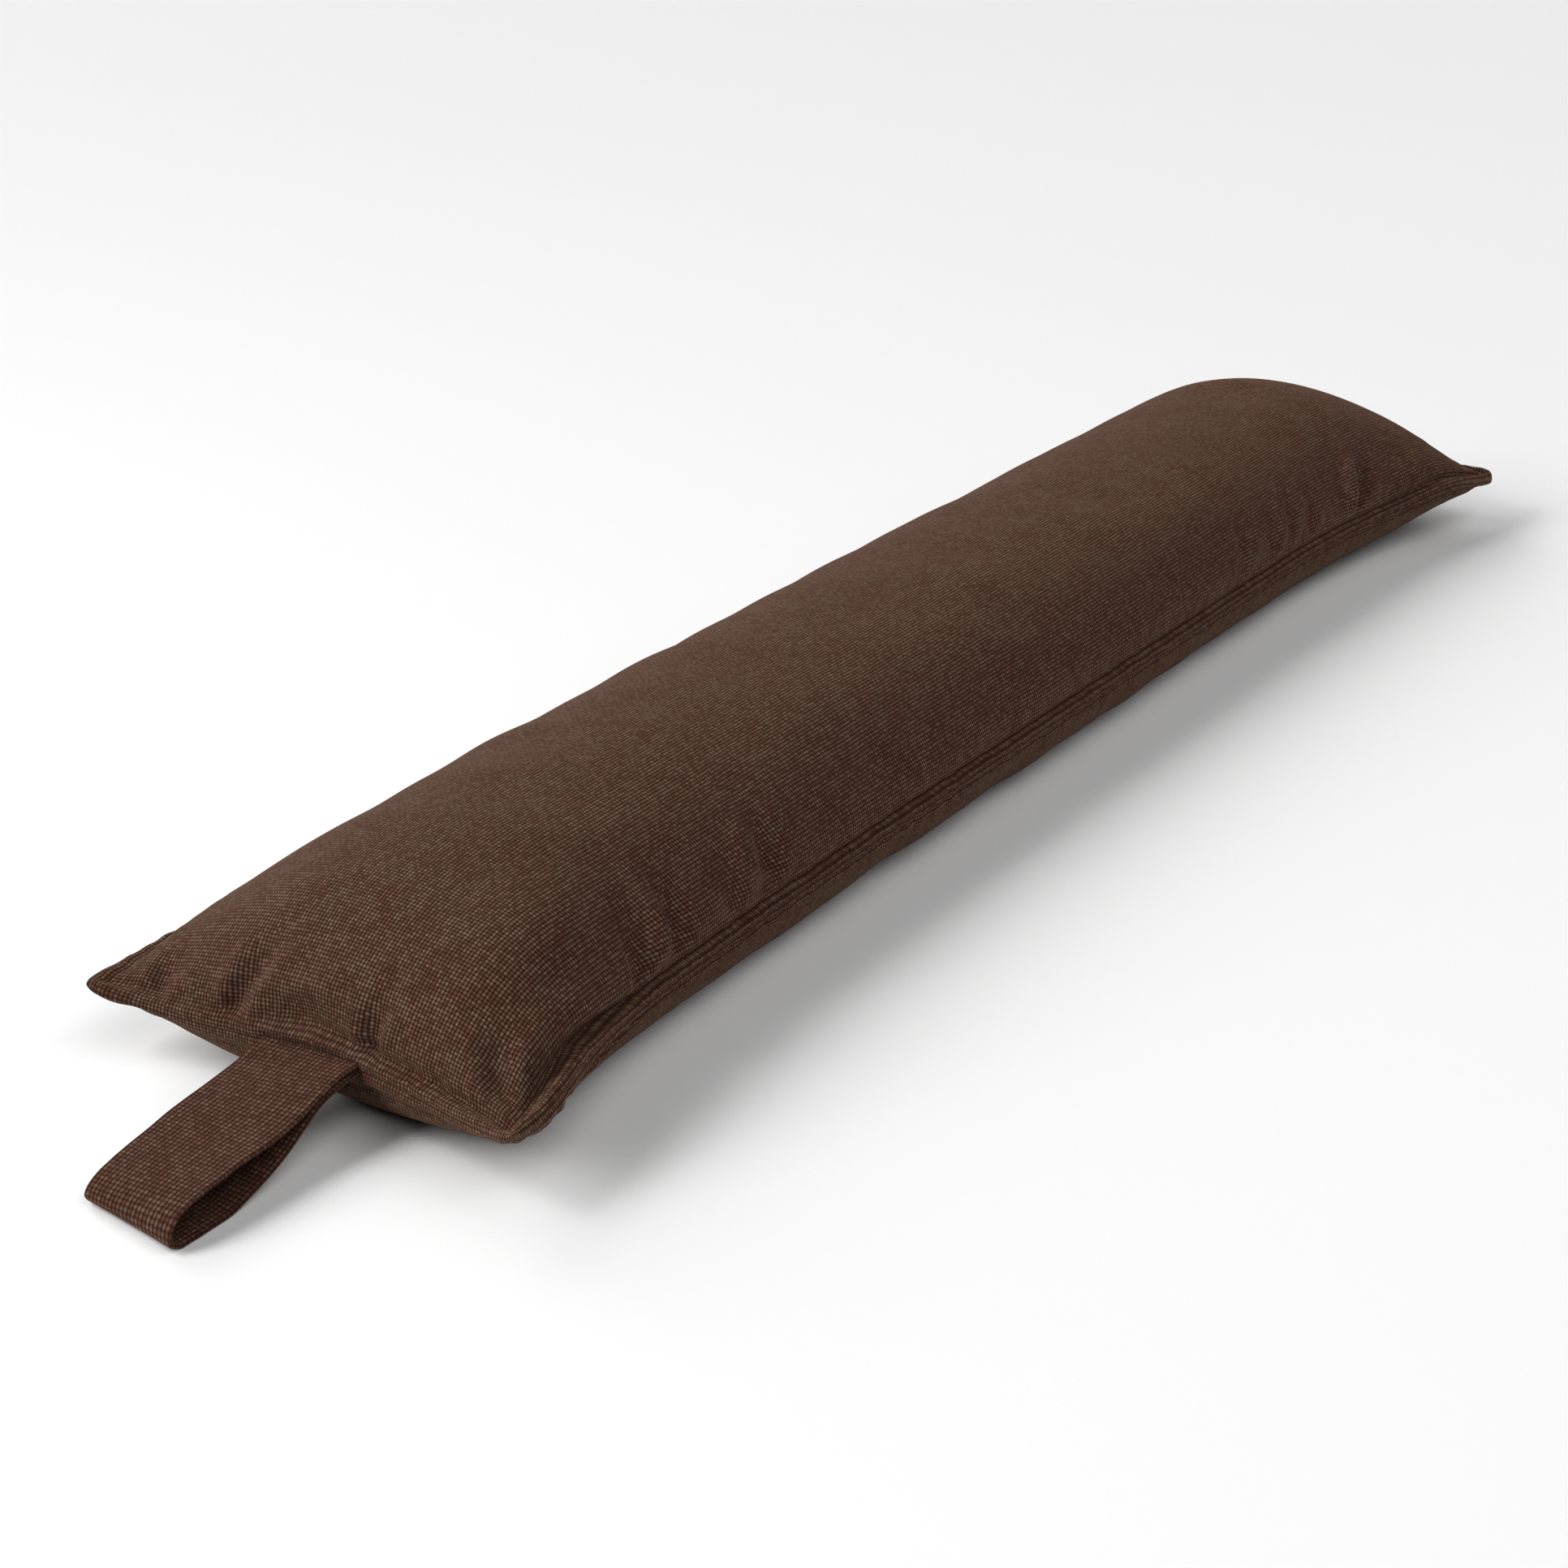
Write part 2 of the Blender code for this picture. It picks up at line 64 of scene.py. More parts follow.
LOG = logging.getLogger("draught_excluder")
WEBBING_WIDTH = 0.045
WEBBING_CENTRE = 0.0012  # the loop leaves the end seam this far behind the middle line
ON_SEAM = 1e-6  # keeps powers of a distance finite on the seam itself
NO_LENGTH = 1e-12  # a vector shorter than this has no direction
WELD = 1e-6  # border vertices nearer to each other than this are one


# ---- curves and fields ----
def smooth_through(at: np.ndarray, knots: np.ndarray, values: np.ndarray) -> np.ndarray:
    """Read a smooth cubic through the knots of a short table.

    Args:
        at: Places to read it at.
        knots: Places of the table's rows, rising.
        values: The table's values there.

    Returns:
        A value for each place.
    """
    steps = np.diff(knots)
    slopes = np.diff(values) / steps
    inner = (slopes[:-1] * steps[1:] + slopes[1:] * steps[:-1]) / (steps[1:] + steps[:-1])
    tangents = np.concatenate([slopes[:1], inner, slopes[-1:]])
    place = np.clip(at, knots[0], knots[-1])
    span = np.clip(np.searchsorted(knots, place) - 1, 0, len(steps) - 1)
    step = steps[span]
    t = (place - knots[span]) / step
    return (
        values[span] * (1 + 2 * t) * (1 - t) ** 2
        + tangents[span] * step * t * (1 - t) ** 2
        + values[span + 1] * t * t * (3 - 2 * t)
        + tangents[span + 1] * step * t * t * (t - 1)
    )


def smooth_step(t: np.ndarray) -> np.ndarray:
    """Rise from 0 to 1 with level ends."""
    t = np.clip(t, 0.0, 1.0)
    return t * t * (3 - 2 * t)


def bump(distance: np.ndarray, reach: float) -> np.ndarray:
    """Make a round hump, 1 at no distance and 0 from the reach on."""
    return smooth_step(1 - np.abs(distance) / reach)


def travelled(x: np.ndarray, y: np.ndarray) -> np.ndarray:
    """Measure along a line of points, from the first to each."""
    return np.concatenate([[0.0], np.cumsum(np.hypot(np.diff(x), np.diff(y)))])


def unit(vectors: np.ndarray) -> np.ndarray:
    """Bring vectors to a length of 1; one without a length stays as it is."""
    return vectors / np.maximum(np.linalg.norm(vectors, axis=-1, keepdims=True), NO_LENGTH)


def rolling(x: np.ndarray, y: np.ndarray, length: float, seed: int, waves: int = 9) -> np.ndarray:
    """Make a smooth uneven field from a few waves in seeded directions.

    Args:
        x: First coordinate, metres.
        y: Second coordinate, metres.
        length: Typical distance from crest to crest, metres.
        seed: Fixes the directions, lengths and phases.
        waves: How many waves are added up.

    Returns:
        Values of about -1 to 1.
    """
    draw = np.random.default_rng(seed)
    total = np.zeros(np.broadcast(x, y).shape)
    for _ in range(waves):
        heading = draw.uniform(0, 2 * math.pi)
        turn = 2 * math.pi / (length * draw.uniform(0.7, 1.5))
        phase = draw.uniform(0, 2 * math.pi)
        total = total + np.sin(turn * (x * math.cos(heading) + y * math.sin(heading)) + phase)
    return total / math.sqrt(2 * waves)


class Panel(Enum):
    """The cushion's two panels."""

    TOP = "top"
    BELLY = "belly"


# ---- the cushion's form ----
class Fullness(NamedTuple):
    """How square a panel's section is: 2 is an ellipse, less is drawn in to a point."""

    middle: float
    at_end: float
    fade: float  # length over which an end's own value is lost


class EndForm(NamedTuple):
    """How one end of the cushion is rounded and drawn in."""

    crown_rise: float  # crown above the end seam
    top_reach: float  # length over which the top rounds down
    top_power: float  # squareness of that rounding, 2 for an ellipse
    belly_reach: float  # length over which the belly rounds up
    belly_power: float
    seam_height: float  # middle of the end seam
    seam_fade: float  # length over which that height is lost
    draw_in: float  # how far the middle of the end seam is pulled in


class CornerLift(NamedTuple):
    """How a corner at the loop is turned up."""

    rise: float
    fade: float  # length along the cushion over which that is lost
    power: float  # high: only the corner itself is lifted


class Places(NamedTuple):
    """Points of a panel, by their cloth distances."""

    along: np.ndarray  # from the loop's end seam
    across: np.ndarray  # from the middle line, minus in front
    from_end: np.ndarray  # to the nearer end seam
    from_side: np.ndarray  # to the nearer long seam


class Crease(NamedTuple):
    """A soft trough in the top panel, deepest where it starts; a minus depth is a ridge."""

    along: float
    across: float
    end_along: float
    end_across: float
    half_width: float
    depth: float


@dataclass(frozen=True)
class CreaseShape:
    """The shape that all creases share."""

    width_at_start: float = 0.8  # in half widths, as is what it gains
    wider_at_end: float = 0.5
    starts_before: float = 0.12  # in lengths of the crease, as are the next three
    deepens_over: float = 0.3
    fades_from: float = 0.4
    fades_over: float = 0.6
    fades_by: float = 0.85  # share of the depth that is lost at its end
    trough_reach: float = 2.0  # in widths there, as are the next two
    lip_at: float = 2.4
    lip_reach: float = 1.6
    lip_share: float = 0.25  # height of the lips beside it, per depth

    def depth(self, crease: Crease, at: Places) -> np.ndarray:
        """Work out how deep one crease is at each point.

        Args:
            crease: The crease.
            at: Points of the top panel.

        Returns:
            Its depth, minus where it stands out.
        """
        run_along, run_across = crease.end_along - crease.along, crease.end_across - crease.across
        to_along, to_across = at.along - crease.along, at.across - crease.across
        length = math.hypot(run_along, run_across)
        progress = (to_along * run_along + to_across * run_across) / length ** 2
        sideways = (to_along * run_across - to_across * run_along) / length
        held = np.clip(progress, 0.0, 1.0)
        distance = np.hypot(sideways, np.abs(progress - held) * length)
        width = crease.half_width * (self.width_at_start + self.wider_at_end * held)
        strength = smooth_step((held + self.starts_before) / self.deepens_over)
        strength *= 1 - self.fades_by * smooth_step((held - self.fades_from) / self.fades_over)
        trough = bump(distance, self.trough_reach * width)
        lips = bump(distance - self.lip_at * width, self.lip_reach * width)
        return crease.depth * strength * (trough - self.lip_share * lips)


@dataclass(frozen=True)
class CushionForm:
    """The filled cushion's shape as it lies, worked out from its cloth sizes."""

    span: float = 0.835  # from ear to ear, along the long seams
    cloth_half: float = 0.100  # half the width of a panel between its long seams
    waist_from: float = 0.275  # cloth distance from an end seam to the waist
    waist_half: float = 0.0746  # half the width there, at the long seams
    waist_seam: float = 0.0318  # height of the long seams there
    belly_sink: float = 0.003  # how far the surface presses the belly flat
    top_fullness: Fullness = Fullness(2.20, 1.11, 0.118)
    belly_fullness: Fullness = Fullness(2.55, 1.94, 0.118)
    loop_end: EndForm = EndForm(0.0501, 0.086, 2.25, 0.094, 2.9, 0.0248, 0.095, 0.0167)
    plain_end: EndForm = EndForm(0.0511, 0.092, 1.68, 0.108, 2.5, 0.0319, 0.105, 0.0094)
    back_corner_narrower: float = 0.0075
    back_seam_dip: float = 0.0027
    back_corner_fade: float = 0.045
    front_lift: CornerLift = CornerLift(0.0085, 0.016, 6)
    back_lift: CornerLift = CornerLift(0.0060, 0.030, 4)
    halves_join_from: float = 0.25  # shares of the length over which the loop end's
    halves_join_over: float = 0.50  # rounding gives way to the plain end's
    section_steps: int = 120

    # The long seams: cloth distance from an end seam, half width, height.
    loop_end_seams: Table = (
        (0.000, 0.0995, 0.0238),
        (0.023, 0.0968, 0.0282),
        (0.053, 0.0887, 0.0322),
        (0.095, 0.0800, 0.0312),
        (0.159, 0.0757, 0.0306),
    )
    plain_end_seams: Table = (
        (0.000, 0.0967, 0.0234),
        (0.023, 0.0983, 0.0283),
        (0.053, 0.0944, 0.0335),
        (0.095, 0.0829, 0.0304),
        (0.159, 0.0762, 0.0311),
    )

    def rounded_end(self, from_end: np.ndarray, end: EndForm,
                    panel: Panel) -> tuple[np.ndarray, np.ndarray, float]:
        """Follow a panel's cloth over a rounded end.

        Args:
            from_end: Cloth distances from the end seam.
            end: The end's form.
            panel: Which of the two panels.

        Returns:
            The distance along X and the share of the rise at each cloth distance, and
            the cloth's own length over the rounding.
        """
        if panel is Panel.TOP:
            reach, rise, power = end.top_reach, end.crown_rise, end.top_power
        else:
            reach, rise, power = end.belly_reach, self.waist_seam, end.belly_power
        angle = np.linspace(0, math.pi / 2, 2 * self.section_steps)
        inwards = reach * (1 - np.cos(angle) ** (2 / power))
        risen = np.sin(angle) ** (2 / power)
        cloth = travelled(inwards, risen * rise)
        x = np.where(from_end < cloth[-1], np.interp(from_end, cloth, inwards),
                     reach + from_end - cloth[-1])
        return x, np.interp(from_end, cloth, risen), cloth[-1]

    @property
    def cloth_length(self) -> float:
        """Length of a panel between its end seams, as the top's middle line needs it."""
        length = self.span
        for end in (self.loop_end, self.plain_end):
            cloth = self.rounded_end(np.zeros(1), end, Panel.TOP)[2]
            length += cloth - end.top_reach - end.draw_in
        return length

    def long_seams(self, along: np.ndarray) -> list[np.ndarray]:
        """Read the long seams' half width and their height at every row of a net."""
        to_plain = self.cloth_length - along
        ends = []
        for stations, distance in ((self.loop_end_seams, along), (self.plain_end_seams, to_plain)):
            waist = (self.waist_from, self.waist_half, self.waist_seam)
            knots, *columns = np.array([*stations, waist]).T
            ends.append([smooth_through(distance, knots, column) for column in columns])
        return [np.where(along < to_plain, loop, plain) for loop, plain in zip(*ends)]

    def base_surface(self, at: Places, panel: Panel) -> np.ndarray:
        """Work out one panel without its sewn edge and creases.

        Args:
            at: Its points, in rows across it.
            panel: Which of the two panels.

        Returns:
            Where each point lies.
        """
        along, across = at.along[:, 0], at.across[0]
        to_plain = self.cloth_length - along
        share = along / self.cloth_length
        loop, plain = self.loop_end, self.plain_end
        loop_x, loop_rise, _ = self.rounded_end(along, loop, panel)
        plain_x, plain_rise, _ = self.rounded_end(to_plain, plain, panel)
        if panel is Panel.TOP:
            form = self.top_fullness
            rise = loop.crown_rise * (1 - share) + plain.crown_rise * share
        else:
            form = self.belly_fullness
            rise = np.full_like(along, -(self.waist_seam + self.belly_sink))
        rise = rise * loop_rise * plain_rise

        seam_x = share * self.span
        blend = smooth_step((share - self.halves_join_from) / self.halves_join_over)
        middle_x = (loop.draw_in + loop_x) * (1 - blend) + (self.span - plain.draw_in - plain_x) * blend
        half_width, seam_z = self.long_seams(along)
        middle_z = self.waist_seam + (loop.seam_height - self.waist_seam) * np.exp(-along / loop.seam_fade)
        middle_z += (plain.seam_height - self.waist_seam) * np.exp(-to_plain / plain.seam_fade)

        angle = np.linspace(0, math.pi / 2, self.section_steps + 1)
        out = np.cos(angle) ** (2 / form.middle)
        at_end = np.exp(-(np.minimum(along, to_plain) / form.fade) ** 2)
        fullness = form.middle + (form.at_end - form.middle) * at_end
        back_fade = np.exp(-along / self.back_corner_fade)
        points = np.zeros((len(along), len(across), 3))
        for row in range(len(along)):
            y = half_width[row] * out
            z = seam_z[row] * out ** 2 + middle_z[row] * (1 - out ** 2)
            z = z + rise[row] * np.sin(angle) ** (2 / fullness[row])
            cloth = travelled(y, z)
            turn = np.interp(1 - np.abs(across) / self.cloth_half, cloth / cloth[-1], angle)
            y_here = np.interp(turn, angle, y)
            share_out = y_here / half_width[row]
            inside = 1 - share_out ** 2
            dip = self.back_seam_dip * back_fade[row] * 4 * share_out * (1 - share_out)
            narrow = 1 - self.back_corner_narrower * back_fade[row] / half_width[row]
            front_lift, back_lift = (
                corner.rise * np.exp(-along[row] / corner.fade) * share_out ** corner.power
                for corner in (self.front_lift, self.back_lift)
            )
            points[row, :, 0] = seam_x[row] * (1 - inside) + middle_x[row] * inside - self.span / 2
            points[row, :, 1] = np.where(across > 0, y_here * narrow, -y_here)
            points[row, :, 2] = np.interp(turn, angle, z)
            points[row, :, 2] += np.where(across > 0, back_lift - dip, front_lift)
        return points


class SewnCorner(NamedTuple):
    """A turned-out corner of the cover."""

    along_side: int  # 1 at the loop's end, -1 at the plain end
    across_side: int  # 1 at the back, -1 at the front
    pushed_out: float  # how far the corner is pushed out, both ways
    rounded: float  # how far from its point the corner is rounded off
    swell: float  # the turned-in cloth raises the edge by this share there


@dataclass(frozen=True)
class SewnEdge:
    """The turned-in edges that stand proud all round, and the groove beside them."""

    groove_at_end: float = 0.0074  # cloth distance from the join to the groove
    groove_at_plain_end: float = 0.0050
    groove_at_side: float = 0.0040
    side_roll_from: float = 0.045  # how far from an end the roll begins,
    side_roll_to: float = 0.110  # and where it is complete
    ridge_share: float = 0.45  # the crest, as a share of the groove's distance
    top_ridge_proud: float = 0.0017
    belly_ridge_proud: float = 0.0012
    groove_deep: float = 0.0022
    belly_groove_deep: float = 0.0008
    groove_reach: float = 0.6  # to both sides, as a share of its distance
    shoulder_at: float = 0.014  # the panel swells beyond the groove, away from the ends
    shoulder_proud: float = 0.0010
    shoulder_reach: float = 0.010
    shallow_share: float = 0.20  # share of the groove's depth left behind the loop,
    shallow_reach: float = 0.05  # so far along,
    shallow_from: float = -0.01  # and from here across,
    shallow_over: float = 0.04  # wholly so this much further
    back_ridge_at: float = 0.050  # beside the loop's end the back seam lies almost flat:
    back_ridge_reach: float = 0.085
    back_ridge_over: float = 0.05  # from the middle line to where that holds
    back_ridge_share: float = 0.30  # the share of the ridge left there
    corner_reach: float = 0.022  # within this of a corner the panels lie on each other
    corners: tuple[SewnCorner, ...] = (
        SewnCorner(1, 1, 0.0028, 0.0130, 0.60),
        SewnCorner(1, -1, 0.0008, 0.0064, 0.20),
        SewnCorner(-1, -1, 0.0022, 0.0110, 0.90),
        SewnCorner(-1, 1, 0.0022, 0.0110, 0.90),
    )
    swell_proud: float = 0.0058  # the filling pushes the front out beside the loop's end
    swell_at: tuple[float, float] = (0.062, -0.061)
    swell_reach: tuple[float, float] = (0.066, 0.036)
    front_fold_at: float = 0.058  # the front groove is a deep fold beside the loop's end
    front_fold_reach: float = 0.056
    front_fold_deeper: float = 2.2
    front_fold_shoulder: float = 0.0022
    top_slot: float = 0.0026  # beside the webbing the edge stands back this far
    belly_slot: float = 0.0044
    slot_margin: float = 0.0012
    pucker_proud: float = 0.00045  # the seam's thread gathers the cloth unevenly
    pucker_length: float = 0.0095
    pucker_reach: float = 0.016
    pucker_start: float = 0.003  # they begin beyond this distance from the seam
    pucker_stretch: float = 0.12  # a gather's width, per its length


CREASES = tuple(Crease(*row) for row in (
    # Across the loop's end, from the back corner to the front one.
    (0.007, 0.075, 0.026, 0.071, 0.0042, 0.0024),
    (0.006, 0.041, 0.036, 0.026, 0.0038, 0.0043),
    (0.0115, 0.019, 0.0115, -0.018, 0.0042, 0.0034),
    (0.006, -0.024, 0.029, -0.027, 0.0033, 0.0040),
    (0.006, -0.055, 0.012, -0.057, 0.0040, 0.0010),
    (0.016, -0.085, 0.036, -0.066, 0.0048, 0.0042),
    (0.018, -0.0880, 0.074, -0.0915, 0.0042, 0.0036),
    # Up from the front seam, behind the loop's end.
    (0.099, -0.094, 0.106, -0.072, 0.0040, 0.0036),
    (0.112, -0.092, 0.128, -0.062, 0.0046, -0.0036),
    (0.126, -0.092, 0.138, -0.062, 0.0042, 0.0032),
    (0.145, -0.089, 0.149, -0.076, 0.0060, -0.0010),
    (0.158, -0.090, 0.166, -0.078, 0.0040, 0.0012),
    (0.170, -0.089, 0.188, -0.060, 0.0050, -0.0022),
    (0.187, -0.090, 0.202, -0.052, 0.0045, 0.0034),
    # Up from the front seam, towards the plain end.
    (0.597, -0.084, 0.610, -0.060, 0.0060, 0.0010),
    (0.592, -0.090, 0.622, -0.067, 0.0038, -0.0024),
    (0.624, -0.091, 0.651, -0.067, 0.0038, -0.0023),
    (0.645, -0.089, 0.672, -0.066, 0.0038, -0.0020),
    (0.670, -0.089, 0.692, -0.068, 0.0038, -0.0015),
    (0.704, -0.091, 0.736, -0.061, 0.0042, -0.0034),
    (0.716, -0.092, 0.748, -0.060, 0.0042, 0.0030),
    (0.760, -0.095, 0.772, -0.074, 0.0038, -0.0020),
    (0.774, -0.094, 0.786, -0.074, 0.0038, -0.0019),
    # The same, along the back seam.
    (0.104, 0.092, 0.112, 0.072, 0.0042, 0.0020),
    (0.141, 0.091, 0.147, 0.068, 0.0050, 0.0018),
    (0.655, 0.091, 0.640, 0.070, 0.0050, 0.0016),
    (0.735, 0.090, 0.722, 0.068, 0.0045, 0.0022),
    # Across the plain end.
    (0.840, 0.052, 0.819, 0.045, 0.0042, 0.0026),
    (0.841, -0.012, 0.824, -0.010, 0.0032, 0.0020),
    (0.840, -0.058, 0.822, -0.050, 0.0042, 0.0024),
))


# ---- meshes ----
def add_net(bm: bmesh.types.BMesh, points: np.ndarray, cloth: np.ndarray, face_down: bool = False) -> list:
    """Add a net of faces to a bmesh, with the cloth's own sizes as its UV map.

    Args:
        bm: The bmesh to add to.
        points: A point for each row and column.
        cloth: The UV coordinates for each row and column.
        face_down: Whether the faces point away from +Z.

    Returns:
        The vertices on the net's edge.
    """
    rows, columns = points.shape[0] - 1, points.shape[1] - 1
    made = bmesh.ops.create_grid(bm, x_segments=rows, y_segments=columns, size=1.0)["verts"]
    uv_layer = bm.loops.layers.uv.verify()
    place = {}
    for vertex in made:
        place[vertex] = (round((vertex.co.x + 1) / 2 * rows), round((vertex.co.y + 1) / 2 * columns))
    faces = list({face for vertex in made for face in vertex.link_faces})
    if face_down:
        bmesh.ops.reverse_faces(bm, faces=faces)
    for face in faces:
        for corner in face.loops:
            corner[uv_layer].uv = cloth[place[corner.vert]]
    edge = []
    for vertex, (row, column) in place.items():
        vertex.co = points[row, column]
        if row in (0, rows) or column in (0, columns):
            edge.append(vertex)
    return edge


def add_object(name: str, bm: bmesh.types.BMesh, finish: "WovenCloth | StudioPaper") -> Object:
    """Turn a bmesh into a smooth-shaded object of the scene.

    Args:
        name: The piece's name.
        bm: Its bmesh, which is freed.
        finish: Its finish, which names its UV map.

    Returns:
        The new object.
    """
    mesh = bpy.data.meshes.new(name)
    bm.to_mesh(mesh)
    bm.free()
    mesh.materials.append(finish.material())
    mesh.shade_smooth()
    for layer in mesh.uv_layers:
        layer.name = finish.uv_map
    piece = bpy.data.objects.new(name, mesh)
    bpy.context.scene.collection.objects.link(piece)
    return piece


# ---- shader nodes ----
class Signal:
    """A number socket whose arithmetic adds Math nodes."""

    def __init__(self, socket: NodeSocket) -> None:
        """Hold an output socket."""
        self.socket = socket

    def _math(self, operation: str, *values: "Signal | float") -> "Signal":
        """Add one Math node.

        Args:
            operation: The node's operation.
            values: Its inputs, signals or plain numbers.

        Returns:
            The node's result.
        """
        tree = self.socket.id_data
        node = tree.nodes.new("ShaderNodeMath")
        node.operation = operation
        for socket, value in zip(node.inputs, values):
            if isinstance(value, Signal):
                tree.links.new(value.socket, socket)
            else:
                socket.default_value = value
        return Signal(node.outputs[0])

    def __add__(self, other: "Signal | float") -> "Signal":
        """Add."""
        return self._math("ADD", self, other)

    __radd__ = __add__

    def __sub__(self, other: "Signal | float") -> "Signal":
        """Subtract."""
        return self._math("SUBTRACT", self, other)

    def __rsub__(self, other: float) -> "Signal":
        """Subtract from a number."""
        return self._math("SUBTRACT", other, self)

    def __mul__(self, other: "Signal | float") -> "Signal":
        """Multiply."""
        return self._math("MULTIPLY", self, other)

    __rmul__ = __mul__

    def __truediv__(self, other: "Signal | float") -> "Signal":
        """Divide."""
        return self._math("DIVIDE", self, other)

    def sine(self) -> "Signal":
        """Sine of an angle in radians."""
        return self._math("SINE", self)

    def floor(self) -> "Signal":
        """Whole part."""
        return self._math("FLOOR", self)

    def modulo(self, other: float) -> "Signal":
        """Remainder, never negative."""
        return self._math("FLOORED_MODULO", self, other)

    def clipped(self) -> "Signal":
        """Keep within 0 and 1."""
        return self._math("MINIMUM", self._math("MAXIMUM", self, 0.0), 1.0)


class NodeSheet:
    """A material's node tree, with one method that adds any node."""

    def __init__(self, name: str) -> None:
        """Start a material with its shader and output."""
        self.material = bpy.data.materials.new(name)
        self.material.use_nodes = True
        self.tree = self.material.node_tree
        self.shader = self.tree.nodes["Principled BSDF"]

    def node(self, kind: str, settings: dict | None = None, inputs: dict | None = None) -> Node:
        """Add a node: its settings are set first, then its sockets.

        Args:
            kind: The node's type.
            settings: Attributes, such as an operation.
            inputs: Values, signals or sockets by the input's name or number.

        Returns:
            The node.
        """
        made = self.tree.nodes.new(kind)
        for name, value in (settings or {}).items():
            setattr(made, name, value)
        for name, value in (inputs or {}).items():
            socket = made.inputs[name]
            if isinstance(value, Signal):
                value = value.socket
            if isinstance(value, NodeSocket):
                self.tree.links.new(value, socket)
            else:
                socket.default_value = value
        return made

    def uv(self, name: str) -> tuple[Signal, Signal]:
        """Read the two numbers of a UV map."""
        source = self.node("ShaderNodeUVMap", {"uv_map": name}).outputs["UV"]
        parts = self.node("ShaderNodeSeparateXYZ", inputs={0: source})
        return Signal(parts.outputs[0]), Signal(parts.outputs[1])

    def vector(self, x: Signal | float, y: Signal | float, z: Signal | float = 0.0) -> NodeSocket:
        """Join three numbers into a vector."""
        return self.node("ShaderNodeCombineXYZ", inputs={0: x, 1: y, 2: z}).outputs[0]

    def noise(self, at: NodeSocket, scale: float, detail: float = 2.0) -> Signal:
        """Smooth noise of about 0.3 to 0.7 at a vector."""
        made = self.node("ShaderNodeTexNoise", {"noise_dimensions": "3D"},
                         {"Vector": at, "Scale": scale, "Detail": detail, "Roughness": 0.5})
        return Signal(made.outputs["Fac"])

    def mix(self, share: Signal | float, first: object, second: object, blend: str = "MIX") -> NodeSocket:
        """Mix two colours, each a colour or a socket."""
        made = self.node("ShaderNodeMix", {"data_type": "RGBA", "blend_type": blend},
                         {0: share, 6: first, 7: second})
        return made.outputs[2]

    def finish(self, colour: NodeSocket, height: Signal, depth: float, constants: dict) -> Material:
        """Feed the shader.

        Args:
            colour: Base colour.
            height: The surface's own relief, 0 to 1.
            depth: What 1 of that relief measures, in metres.
            constants: Values that are the same all over, by the input's name.

        Returns:
            The material.
        """
        raised = self.node("ShaderNodeBump", inputs={"Height": height, "Distance": depth, "Strength": 1.0})
        self.tree.links.new(raised.outputs[0], self.shader.inputs["Normal"])
        self.tree.links.new(colour, self.shader.inputs["Base Color"])
        for name, value in constants.items():
            self.shader.inputs[name].default_value = value
        return self.material


